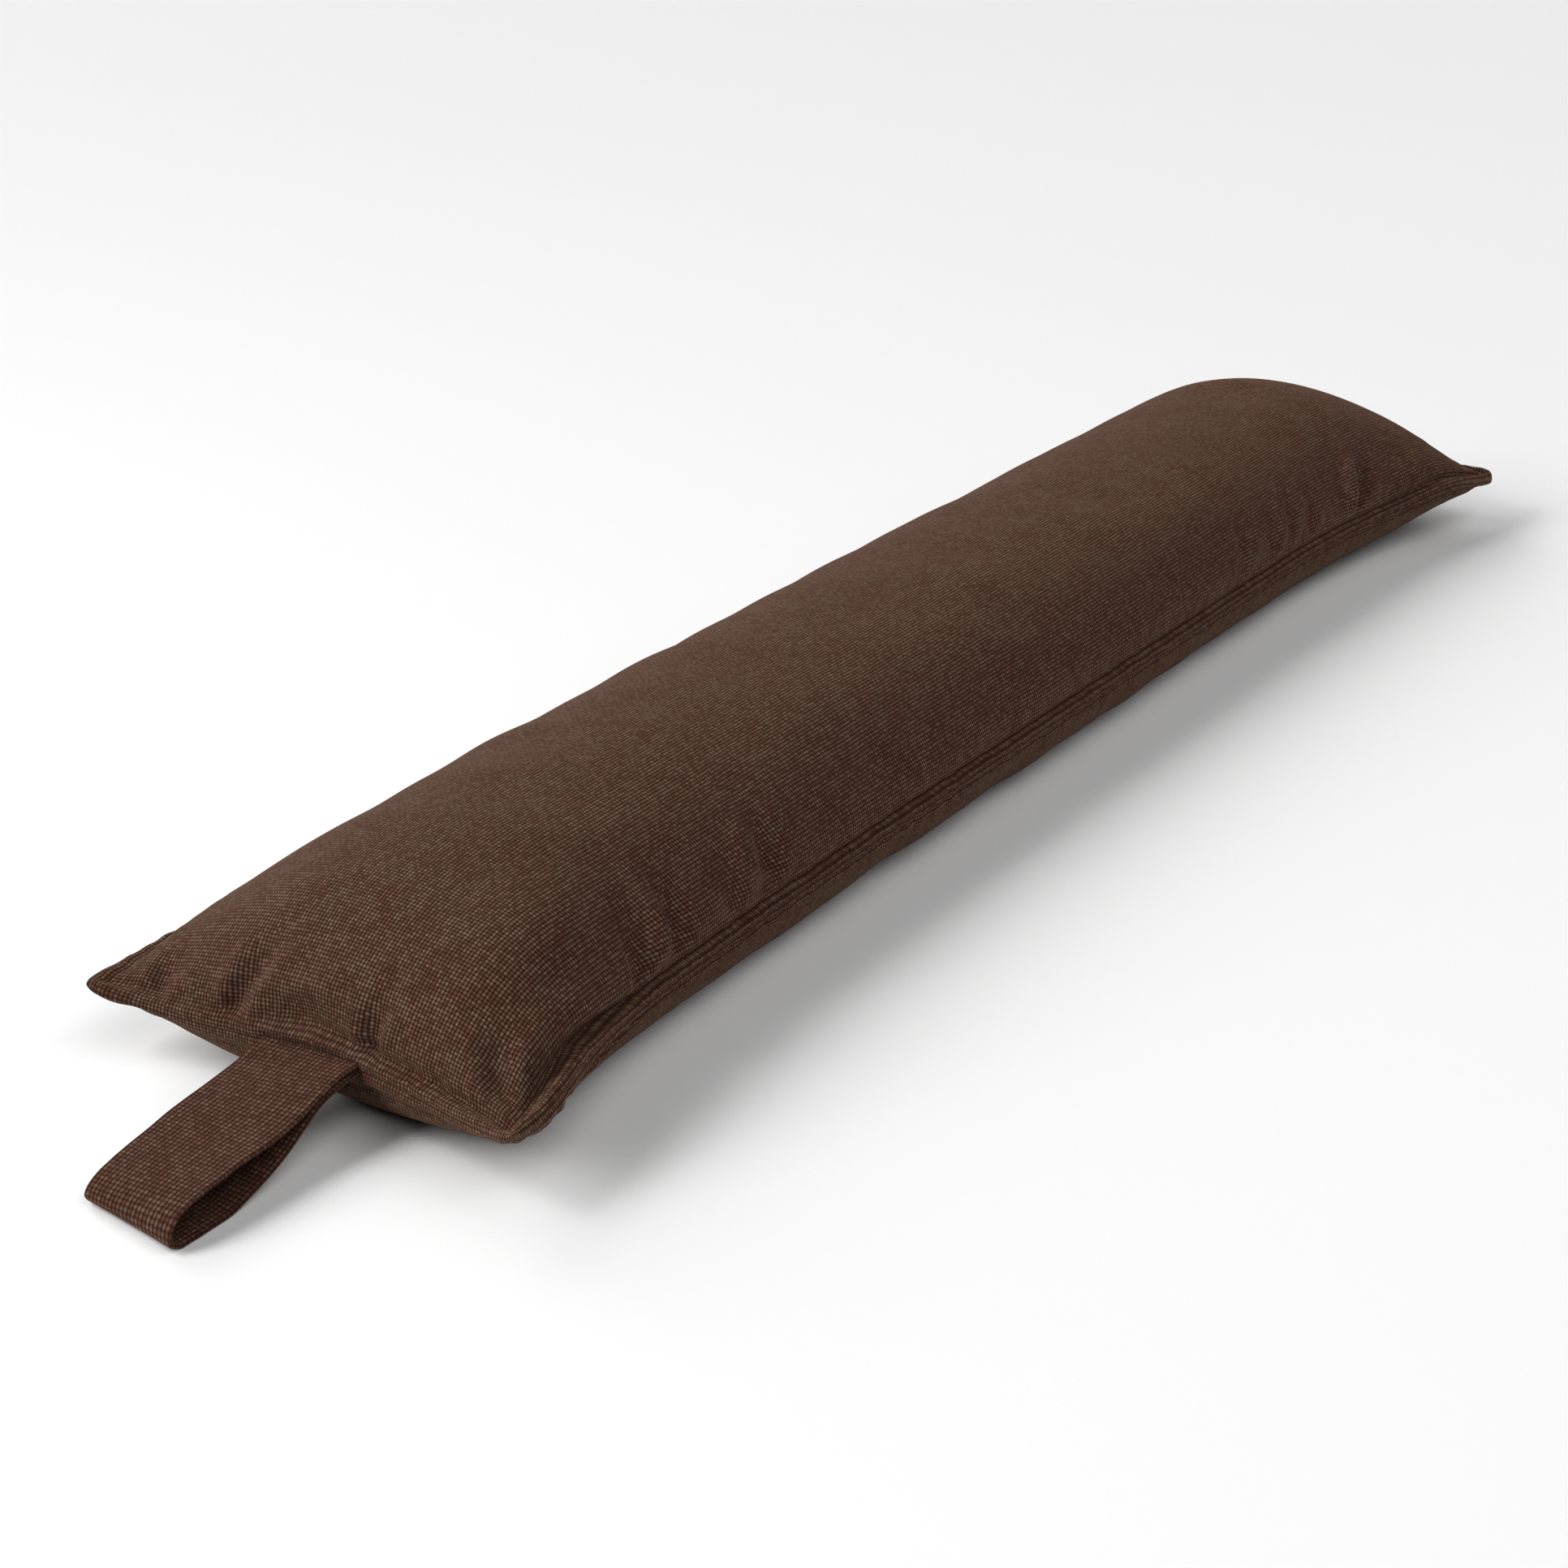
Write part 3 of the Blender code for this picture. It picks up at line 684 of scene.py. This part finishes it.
@dataclass(frozen=True)
class WovenCloth:
    """A plain-woven finish of two yarns, with uneven shades along each yarn; its colour darkens towards
    the gaps between yarns, which is painted shade.
    """

    name: str
    uv_map: str
    warp_pitch: float  # distance between yarns, across the cloth's length
    weft_pitch: float  # distance between yarns, along the cloth's length
    light_yarn: Colour
    warm_yarn: Colour
    # painted shade: the near-black colour of the hollows between yarns, mixed in where the relief is low
    painted_gap_shade: Colour
    patch_length: float  # of the places where the warm yarn shows more
    relief: float  # height of a yarn over the gaps
    wander: float  # how far yarns stray, in yarns
    weft_wander: float = 12.0  # yarns over which one strays and comes back
    warp_wander: float = 15.0
    warp_relief: float = 0.22  # shares of the relief: of the yarns along the cloth,
    weft_relief: float = 0.10  # of those across it,
    crossing_relief: float = 0.14  # of the knuckles where they cross,
    crown_relief: float = 0.54  # and of whichever yarn lies on top,
    crown_saddle: float = 0.45  # which keeps this share of its height at its edges
    slub_stretch: float = 0.11  # slubs to a yarn's width, along the yarn
    patch_warmth: float = 1.5  # how strongly patches, slubs and single stitches
    slub_warmth: float = 0.9  # turn to the warm yarn
    stitch_warmth: float = 0.9
    least_shade: float = 0.60  # of the yarn's colour, before slubs and stitches
    slub_shade: float = 0.38
    stitch_shade: float = 0.26
    roughness: float = 0.9
    gloss: float = 0.10
    sheen: float = 0.085
    sheen_roughness: float = 0.5
    sheen_tint: Colour = (1.0, 0.58, 0.38, 1.0)

    def material(self) -> Material:
        """Make the finish."""
        sheet = NodeSheet(self.name)
        # The third number of a noise's place only parts it from the other noises.
        along, across = sheet.uv(self.uv_map)
        stray_scale = 1 / (self.weft_wander * self.weft_pitch)
        stray = sheet.noise(sheet.vector(along, across), stray_scale, 1.0) - 0.5
        lean_scale = 1 / (self.warp_wander * self.warp_pitch)
        lean = sheet.noise(sheet.vector(across, along, 3.7), lean_scale, 1.0) - 0.5
        x = along / self.weft_pitch + stray * (2 * self.wander)
        y = across / self.warp_pitch + lean * (2 * self.wander)
        weft_round, warp_round = (wave * wave for wave in ((x * math.pi).sine(), (y * math.pi).sine()))
        over = (x.floor() + y.floor()).modulo(2.0)
        saddle = self.crown_saddle
        crown = over * warp_round * (saddle + (1 - saddle) * weft_round)
        crown = crown + (1 - over) * weft_round * (saddle + (1 - saddle) * warp_round)
        height = weft_round * self.weft_relief + warp_round * self.warp_relief
        height = height + weft_round * warp_round * self.crossing_relief + crown * self.crown_relief
        cell = sheet.node("ShaderNodeTexWhiteNoise", {"noise_dimensions": "2D"},
                          {"Vector": sheet.vector(x.floor(), y.floor())})
        stitch = Signal(cell.outputs["Value"])

        slub_x = sheet.noise(sheet.vector(x * self.slub_stretch, y.floor(), 1.3), 1.0, 1.0)
        slub_y = sheet.noise(sheet.vector(x.floor(), y * self.slub_stretch, 5.1), 1.0, 1.0)
        slub = over * slub_x + (1 - over) * slub_y
        patch = sheet.noise(sheet.vector(along, across, 0.2), 1 / self.patch_length, 2.0)
        warm = (patch - 0.5) * self.patch_warmth + (slub - 0.5) * self.slub_warmth
        warm = (warm + (0.5 - stitch) * self.stitch_warmth + 0.5).clipped()
        yarn = sheet.mix(warm, self.light_yarn, self.warm_yarn)
        shade = self.least_shade + self.slub_shade * slub
        shade = shade + self.stitch_shade * stitch + self.stitch_shade * stitch * stitch
        yarn = sheet.mix(1.0, yarn, sheet.vector(shade, shade, shade), "MULTIPLY")
        # Painted shade: the colour falls from the yarn's own towards the near-black gap colour as the
        # relief drops, so the hollows and each yarn's edges are darkened in the colour as well as by the
        # bump; the yarn tops keep the full yarn colour.
        colour = sheet.mix(height, self.painted_gap_shade, yarn)
        constants = {"Roughness": self.roughness, "Specular IOR Level": self.gloss,
                     "Sheen Weight": self.sheen, "Sheen Roughness": self.sheen_roughness,
                     "Sheen Tint": self.sheen_tint}
        return sheet.finish(colour, height, self.relief, constants)


@dataclass(frozen=True)
class StudioPaper:
    """A plain pale floor with a barely uneven tone."""

    name: str = "studio_paper"
    colour: Colour = (0.81, 0.81, 0.81, 1.0)
    tone: float = 0.01
    tone_scale: float = 1.2
    grain: float = 0.00002  # height of the paper's grain
    grain_scale: float = 180.0
    roughness: float = 0.75

    def material(self) -> Material:
        """Make the finish."""
        sheet = NodeSheet(self.name)
        place = sheet.node("ShaderNodeTexCoord").outputs["Object"]
        uneven = sheet.noise(place, self.tone_scale)
        shade = 1 - self.tone + uneven * self.tone
        colour = sheet.mix(1.0, self.colour, sheet.vector(shade, shade, shade), "MULTIPLY")
        grain = sheet.noise(place, self.grain_scale)
        return sheet.finish(colour, grain, self.grain, {"Roughness": self.roughness})


# ---- the cushion ----
@dataclass
class Cushion:
    """The filled cushion: two panels sewn together all round."""

    form: CushionForm = field(default_factory=CushionForm)
    edge: SewnEdge = field(default_factory=SewnEdge)
    creases: tuple[Crease, ...] = CREASES
    crease_shape: CreaseShape = CreaseShape()
    seam_rows: float = 0.0006  # net step at a seam, then beside it, then beyond
    near_rows: float = 0.0016
    far_rows: float = 0.0030
    seam_zone: float = 0.011
    near_zone: float = 0.060
    crease_side_start: float = 0.005  # creases begin this far from a long seam,
    crease_end_start: float = 0.001  # this far from an end seam,
    crease_fade_in: float = 0.006  # and are whole so much further in
    lump_proud: float = 0.0006  # the filling's own unevenness
    lump_length: float = 0.055
    lump_over: float = 3.0  # groove distances over which the lumps begin
    belly_map_shift: float = 0.25  # parts the belly's cloth from the top's
    flat_below: float = 0.0004  # belly points lower than this lie on the surface

    def net_lines(self, length: float) -> np.ndarray:
        """Place a net's lines from 0 to a length, close together at both its ends."""
        lines = [0.0]
        while lines[-1] < length / 2:
            step = self.seam_rows if lines[-1] < self.seam_zone else self.near_rows
            if lines[-1] > self.near_zone:
                step = self.far_rows
            lines.append(lines[-1] + step)
        half = np.array(lines) * (length / 2 / lines[-1])
        return np.concatenate([half, length - half[-2::-1]])

    def places(self) -> Places:
        """Spread a net over a panel and measure its points to the seams."""
        length, half = self.form.cloth_length, self.form.cloth_half
        along, across = np.meshgrid(self.net_lines(length), self.net_lines(2 * half) - half, indexing="ij")
        return Places(along, across, np.minimum(along, length - along), half - np.abs(across))

    def crease_depth(self, at: Places) -> np.ndarray:
        """Add up the depth of the creases at each point of the top panel."""
        depth = sum(self.crease_shape.depth(crease, at) for crease in self.creases)
        clear_of_end = at.from_end + self.crease_side_start - self.crease_end_start
        clear_of_seam = np.minimum(clear_of_end, at.from_side)
        return depth * smooth_step((clear_of_seam - self.crease_side_start) / self.crease_fade_in)

    def from_seams(self, at: Places) -> np.ndarray:
        """Measure to the nearest seam, in units of the groove's distance from it."""
        edge = self.edge
        roll_over = edge.side_roll_to - edge.side_roll_from
        rolled = smooth_step((at.from_end - edge.side_roll_from) / roll_over)
        at_loop = at.along < self.form.cloth_length / 2
        groove_at_end = np.where(at_loop, edge.groove_at_end, edge.groove_at_plain_end)
        groove_at_side = groove_at_end + (edge.groove_at_side - groove_at_end) * rolled
        end_share = np.maximum(at.from_end / groove_at_end, ON_SEAM)
        side_share = np.maximum(at.from_side / groove_at_side, ON_SEAM)
        return (end_share ** -4 + side_share ** -4) ** -0.25

    def near_corner(self, at: Places) -> np.ndarray:
        """Rise from 0, at a distance from every corner, to 1 on it."""
        return bump(np.hypot(at.from_end, at.from_side), self.edge.corner_reach)

    def is_near(self, at: Places, corner: SewnCorner) -> np.ndarray:
        """Tell which points lie in the quarter of the cushion that ends in this corner."""
        from_middle = self.form.cloth_length / 2 - at.along
        return (from_middle * corner.along_side > 0) & (at.across * corner.across_side > 0)

    def moved_in(self, at: Places, corner: SewnCorner) -> np.ndarray:
        """Work out how far a corner's shape moves points in from the seams.

        Args:
            at: Points of a panel.
            corner: The corner.

        Returns:
            The distance, the same along and across; minus is outwards.
        """
        share = np.clip(1 - np.hypot(at.from_end, at.from_side) / corner.rounded, 0, 1)
        # A quarter of the rounded length turns the two seams into each other without a corner.
        moved = corner.rounded / 4 * share ** 2 - corner.pushed_out * self.near_corner(at)
        return moved * self.is_near(at, corner)

    def slot_for_webbing(self, at: Places, reach: float) -> np.ndarray:
        """Rise from 0, where the webbing leaves the end seam, to 1 clear of it."""
        beside = np.abs(at.across - WEBBING_CENTRE) - WEBBING_WIDTH / 2
        clear_across = smooth_step(beside / self.edge.slot_margin)
        clear_along = smooth_step((at.along - reach) / self.edge.slot_margin)
        return np.maximum(clear_across, clear_along)

    def puckers(self, at: Places, seed: int) -> np.ndarray:
        """Make the small uneven gathers that a seam's thread leaves beside it."""
        edge = self.edge
        gathers = (
            (at.from_side, at.along, at.across * edge.pucker_stretch, seed),
            (at.from_end, at.along * edge.pucker_stretch, at.across, seed + 1),
        )
        total = np.zeros_like(at.along)
        for from_seam, x, y, its_seed in gathers:
            reach = smooth_step(from_seam / edge.pucker_start)
            reach *= np.exp(-(from_seam / edge.pucker_reach) ** 2)
            total += rolling(x, y, edge.pucker_length, its_seed) * reach
        return edge.pucker_proud * total

    def ridge(self, at: Places, seam_share: np.ndarray, panel: Panel) -> np.ndarray:
        """Work out the sewn edge's ridge.

        Args:
            at: Points of the panel.
            seam_share: Their distance from the nearest seam, per the groove's.
            panel: Which of the two panels.

        Returns:
            Its height, 1 on its crest where nothing swells or flattens it.
        """
        edge = self.edge
        nose = np.sqrt(np.clip(1 - (1 - np.minimum(seam_share / edge.ridge_share, 1.0)) ** 2, 0, 1))
        ridge = nose * (1 - smooth_step((seam_share - edge.ridge_share) / (1 - edge.ridge_share)))
        ridge *= self.slot_for_webbing(at, edge.top_slot if panel is Panel.TOP else edge.belly_slot)
        for corner in edge.corners:
            ridge *= 1 + corner.swell * self.near_corner(at) * self.is_near(at, corner)
        flat_back = bump(at.along - edge.back_ridge_at, edge.back_ridge_reach)
        flat_back *= smooth_step(at.across / edge.back_ridge_over)
        return ridge * (1 - (1 - edge.back_ridge_share) * flat_back)

    def relief(self, at: Places, panel: Panel) -> np.ndarray:
        """Work out how far a panel stands out from its base surface.

        Args:
            at: Points of the panel.
            panel: Which of the two panels.

        Returns:
            The height of each point over the base surface.
        """
        edge = self.edge
        seam_share = self.from_seams(at)
        ridge = self.ridge(at, seam_share, panel)
        shallow = bump(at.along, edge.shallow_reach)
        shallow *= smooth_step((at.across - edge.shallow_from) / edge.shallow_over)
        groove = bump(seam_share - 1, edge.groove_reach) * (1 - (1 - edge.shallow_share) * shallow)
        fold = bump(at.along - edge.front_fold_at, edge.front_fold_reach) * (at.across < 0)
        groove *= 1 + edge.front_fold_deeper * fold
        lumps = self.lump_proud * rolling(at.along, at.across, self.lump_length, seed=11)
        lumps *= smooth_step((seam_share - 1) / self.lump_over)
        if panel is Panel.BELLY:
            raised = edge.belly_ridge_proud * ridge - edge.belly_groove_deep * groove
            return raised + lumps + self.puckers(at, seed=31)
        shoulder = edge.shoulder_proud * smooth_step(at.from_end / edge.side_roll_to)
        shoulder += edge.front_fold_shoulder * fold
        shoulder *= bump(at.from_side - edge.shoulder_at, edge.shoulder_reach)
        swell = edge.swell_proud * bump(at.along - edge.swell_at[0], edge.swell_reach[0])
        swell *= bump(at.across - edge.swell_at[1], edge.swell_reach[1])
        raised = edge.top_ridge_proud * ridge - edge.groove_deep * groove + shoulder + swell
        return raised - self.crease_depth(at) + lumps + self.puckers(at, seed=21)

    def panel_points(self, at: Places, panel: Panel) -> np.ndarray:
        """Work out a panel with its sewn edge, creases and lumps.

        Args:
            at: Its points, in rows across it.
            panel: Which of the two panels.

        Returns:
            Where each point lies.
        """
        base = self.form.base_surface(at, panel)
        side = 1.0 if panel is Panel.TOP else -1.0
        outwards = unit(side * np.cross(np.gradient(base, axis=0), np.gradient(base, axis=1)))
        at_corner = self.near_corner(at)[..., None]
        outwards = unit(outwards * (1 - at_corner) + np.array([0.0, 0.0, side]) * at_corner)
        points = base + outwards * self.relief(at, panel)[..., None]
        for corner in self.edge.corners:
            moved = self.moved_in(at, corner)
            points[..., 0] += moved * corner.along_side
            points[..., 1] -= moved * corner.across_side
        return points

    def build(self, finish: WovenCloth) -> Object:
        """Close the two panels along their seams into one filled form.

        Args:
            finish: The cloth.

        Returns:
            The cushion.
        """
        at = self.places()
        top, belly = self.panel_points(at, Panel.TOP), self.panel_points(at, Panel.BELLY)
        belly[..., 2] = np.where(belly[..., 2] < self.flat_below, 0.0, belly[..., 2])
        for border in (np.s_[0, :], np.s_[-1, :], np.s_[:, 0], np.s_[:, -1]):
            belly[border] = top[border]
        cloth = np.stack([at.along, at.across], axis=2)
        bm = bmesh.new()
        border = add_net(bm, top, cloth)
        border += add_net(bm, belly, cloth + np.array([0.0, self.belly_map_shift]), face_down=True)
        bmesh.ops.remove_doubles(bm, verts=border, dist=WELD)
        return add_object("filled_cushion", bm, finish)

    def dress(self, piece: Object) -> None:
        """Hang the cushion on the root body and hide the solid that it stands in for."""
        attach(piece, "root")
        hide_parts("cushion")


# ---- the carry loop ----
@dataclass
class CarryLoop:
    """A strip of webbing folded in two, both ends sewn into the end seam."""

    width: float = WEBBING_WIDTH
    thick: float = 0.0018
    length: float = 0.2032  # as cut, between the two places where it enters the seam
    steps: int = 260
    across_steps: int = 36
    edge_steps: int = 6
    # Round the loop: X and Z of the front edge, then of the back edge, mid thickness.
    rows: Table = (
        (-0.4015, 0.0261, -0.4015, 0.0231),
        (-0.4080, 0.0260, -0.4080, 0.0213),
        (-0.4140, 0.0250, -0.4140, 0.0194),
        (-0.4200, 0.0233, -0.4210, 0.0184),
        (-0.4290, 0.0203, -0.4300, 0.0173),
        (-0.4390, 0.0181, -0.4390, 0.0164),
        (-0.4480, 0.0172, -0.4475, 0.0153),
        (-0.4580, 0.0169, -0.4565, 0.0135),
        (-0.4670, 0.0158, -0.4655, 0.0120),
        (-0.4765, 0.0149, -0.4740, 0.0102),
        (-0.4835, 0.0134, -0.4805, 0.0082),
        (-0.4886, 0.0110, -0.4843, 0.0058),
        (-0.4912, 0.0072, -0.4855, 0.0036),
        (-0.4914, 0.0038, -0.4842, 0.0018),
        (-0.4885, 0.0015, -0.4805, 0.0010),
        (-0.4825, 0.0009, -0.4755, 0.0009),
        (-0.4740, 0.0009, -0.4690, 0.0009),
        (-0.4650, 0.0011, -0.4620, 0.0010),
        (-0.4560, 0.0035, -0.4540, 0.0026),
        (-0.4460, 0.0068, -0.4440, 0.0054),
        (-0.4370, 0.0108, -0.4350, 0.0088),
        (-0.4300, 0.0150, -0.4285, 0.0120),
        (-0.4220, 0.0195, -0.4210, 0.0150),
        (-0.4140, 0.0220, -0.4130, 0.0170),
        (-0.4015, 0.0237, -0.4015, 0.0205),
    )

    def centre_lines(self) -> tuple[np.ndarray, np.ndarray]:
        """Find the front and back edge of the middle surface, at even distances."""
        table = np.array(self.rows)
        middle = (table[:, :2] + table[:, 2:]) / 2
        knots = travelled(*middle.T)
        at = np.linspace(0, knots[-1], self.steps + 1)
        read = np.stack([smooth_through(at, knots, column) for column in table.T], axis=1)
        return read[:, :2], read[:, 2:]

    def section(self) -> np.ndarray:
        """Go round the webbing's section: place across it and height, from its middle."""
        half, radius = self.width / 2, self.thick / 2
        flat = np.linspace(-half + radius, half - radius, self.across_steps + 1)
        turn = np.linspace(math.pi / 2, -math.pi / 2, self.edge_steps + 1)[1:-1]
        upper = np.stack([flat, np.full_like(flat, radius)], axis=1)
        back = np.stack([half - radius + radius * np.cos(turn), radius * np.sin(turn)], axis=1)
        ring = np.concatenate([upper, back, -upper, -back])
        return np.concatenate([ring, ring[:1]])

    def build(self, finish: WovenCloth) -> Object:
        """Sweep the section along the loop and close both ends.

        Args:
            finish: The webbing's weave.

        Returns:
            The loop.
        """
        front, back = self.centre_lines()
        section = self.section()
        share = section[:, 0] / self.width + 0.5
        line = front[:, None] * (1 - share)[None, :, None] + back[:, None] * share[None, :, None]
        heading = unit(np.gradient(line, axis=0))
        lift = np.stack([heading[..., 1], -heading[..., 0]], axis=2)
        outer = line + lift * section[None, :, 1, None]
        points = np.zeros((*outer.shape[:2], 3))
        points[..., 0] = outer[..., 0]
        points[..., 1] = WEBBING_CENTRE + section[None, :, 0]
        points[..., 2] = np.maximum(outer[..., 1], 0.0)
        length = np.linspace(0, self.length, self.steps + 1)
        cloth = np.stack(np.meshgrid(length, travelled(*section.T), indexing="ij"), axis=2)
        bm = bmesh.new()
        border = add_net(bm, points, cloth)
        bmesh.ops.remove_doubles(bm, verts=border, dist=WELD)
        bmesh.ops.holes_fill(bm, edges=[e for e in bm.edges if e.is_boundary], sides=0)
        return add_object("webbing_loop", bm, finish)

    def dress(self, piece: Object) -> None:
        """Hang the loop on the root body and hide the solid that it stands in for."""
        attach(piece, "root")
        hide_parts("handle_loop")


# ---- the studio ----
class FarLamp(NamedTuple):
    """A broad, far light, by the direction it comes from."""

    name: str
    bearing: float  # degrees from +X towards +Y
    elevation: float  # degrees above the floor
    spread: float  # degrees across, which softens its shadows
    strength: float


class SoftBox(NamedTuple):
    """A round diffuser that stands near the loop's end of the cushion."""

    name: str
    bearing: float  # degrees from +X towards +Y, seen from that end
    elevation: float  # degrees above the floor
    distance: float
    width: float
    strength: float  # at that end, in the unit of the far lamps


@dataclass(frozen=True)
class Studio:
    """Pale floor, soft light and the camera."""

    floor_half: float = 90.0
    sky: float = 0.02
    lamp_distance: float = 3.0
    loop_end: tuple[float, float, float] = (-0.42, 0.0, 0.0)
    far_lamps: tuple[FarLamp, ...] = (
        FarLamp("left_window", 147.0, 27.0, 27.0, 1.78),
        FarLamp("right_window", 66.0, 28.0, 34.0, 1.10),
        FarLamp("high_window", 122.0, 46.0, 40.0, 0.92),
        FarLamp("left_fill", 236.0, 48.0, 38.0, 0.74),
        FarLamp("front_fill", 285.0, 42.0, 38.0, 0.58),
        FarLamp("front_high_fill", 285.0, 64.0, 44.0, 0.40),
    )
    soft_box: SoftBox = SoftBox("left_box", 132.0, 50.0, 1.5, 0.60, 1.00)
    camera_place: tuple[float, float, float] = (-1.02498, -0.61302, 0.51181)
    camera_aim: tuple[float, float, float] = (-0.1805, -0.0434, 0.0529)
    camera_roll: float = 0.1045  # degrees
    focal_pixels: float = 3578.6  # in an image 1932 pixels wide
    image_width: int = 1932
    sensor: float = 36.0

    def floor(self) -> None:
        """Lay the floor that the cushion lies on."""
        bm = bmesh.new()
        bmesh.ops.create_grid(bm, x_segments=8, y_segments=8, size=self.floor_half)
        piece = add_object("floor", bm, StudioPaper())

    def light(self) -> None:
        """Light the scene evenly, with soft light from behind on the left."""
        world = bpy.data.worlds.new("studio")
        world.use_nodes = True
        background = world.node_tree.nodes["Background"]
        background.inputs["Color"].default_value = (1.0, 1.0, 1.0, 1.0)
        background.inputs["Strength"].default_value = self.sky
        bpy.context.scene.world = world
        for lamp in self.far_lamps:
            data = bpy.data.lights.new(lamp.name, "SUN")
            data.angle = math.radians(lamp.spread)
            data.energy = lamp.strength
            self.hang(data, lamp, Vector(), self.lamp_distance)
        box = self.soft_box
        data = bpy.data.lights.new(box.name, "AREA")
        data.shape = "DISK"
        data.size = box.width
        data.energy = box.strength * math.pi * box.distance ** 2
        self.hang(data, box, Vector(self.loop_end), box.distance)

    def hang(self, data: Light, lamp: FarLamp | SoftBox, target: Vector, distance: float) -> None:
        """Hang a light so that it faces a target.

        Args:
            data: The light.
            lamp: Its bearing and elevation, seen from the target.
            target: What the light faces.
            distance: How far off it hangs.
        """
        bearing = math.radians(lamp.bearing)
        elevation = math.radians(lamp.elevation)
        level = math.cos(elevation)
        towards = Vector((math.cos(bearing) * level, math.sin(bearing) * level, math.sin(elevation)))
        holder = bpy.data.objects.new(data.name, data)
        holder.location = target + towards * distance
        holder.rotation_euler = (-towards).to_track_quat("-Z", "Y").to_euler()
        bpy.context.scene.collection.objects.link(holder)

    def camera(self) -> None:
        """Stand the camera at the photo's angle."""
        data = bpy.data.cameras.new("camera")
        data.sensor_fit = "HORIZONTAL"
        data.sensor_width = self.sensor
        data.lens = self.focal_pixels / self.image_width * self.sensor
        holder = bpy.data.objects.new("camera", data)
        place = Vector(self.camera_place)
        facing = (Vector(self.camera_aim) - place).to_track_quat("-Z", "Y").to_matrix()
        roll = Matrix.Rotation(math.radians(self.camera_roll), 3, "Z")
        holder.matrix_world = Matrix.Translation(place) @ (facing @ roll).to_4x4()
        bpy.context.scene.collection.objects.link(holder)
        bpy.context.scene.camera = holder

    def build(self) -> None:
        """Set the whole studio."""
        self.floor()
        self.light()
        self.camera()
        bpy.context.scene.view_settings.view_transform = "Standard"


CUSHION_CLOTH = WovenCloth(
    name="furnishing_cloth",
    uv_map="cloth",
    warp_pitch=0.00148,
    weft_pitch=0.00140,
    light_yarn=(0.146, 0.090, 0.060, 1.0),
    warm_yarn=(0.122, 0.051, 0.031, 1.0),
    # painted shade of the hollows between the cloth's yarns
    painted_gap_shade=(0.010, 0.0025, 0.0008, 1.0),
    patch_length=0.012,
    relief=0.00030,
    wander=0.3,
)

LOOP_WEBBING = WovenCloth(
    name="woven_webbing",
    uv_map="webbing",
    warp_pitch=0.00196,
    weft_pitch=0.00195,
    light_yarn=(0.124, 0.066, 0.043, 1.0),
    warm_yarn=(0.106, 0.039, 0.023, 1.0),
    # painted shade of the hollows between the webbing's yarns
    painted_gap_shade=(0.009, 0.0020, 0.0006, 1.0),
    patch_length=0.012,
    relief=0.00045,
    wander=0.12,
)


def main() -> None:
    """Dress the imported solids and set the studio."""
    logging.basicConfig(level=logging.INFO)
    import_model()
    Studio().build()
    cushion = Cushion()
    loop = CarryLoop()
    for part, finish in ((cushion, CUSHION_CLOTH), (loop, LOOP_WEBBING)):
        piece = part.build(finish)
        part.dress(piece)
        LOG.info("%s: %d faces", piece.name, len(piece.data.polygons))
    bpy.context.view_layer.update()


if __name__ == "__main__":
    main()
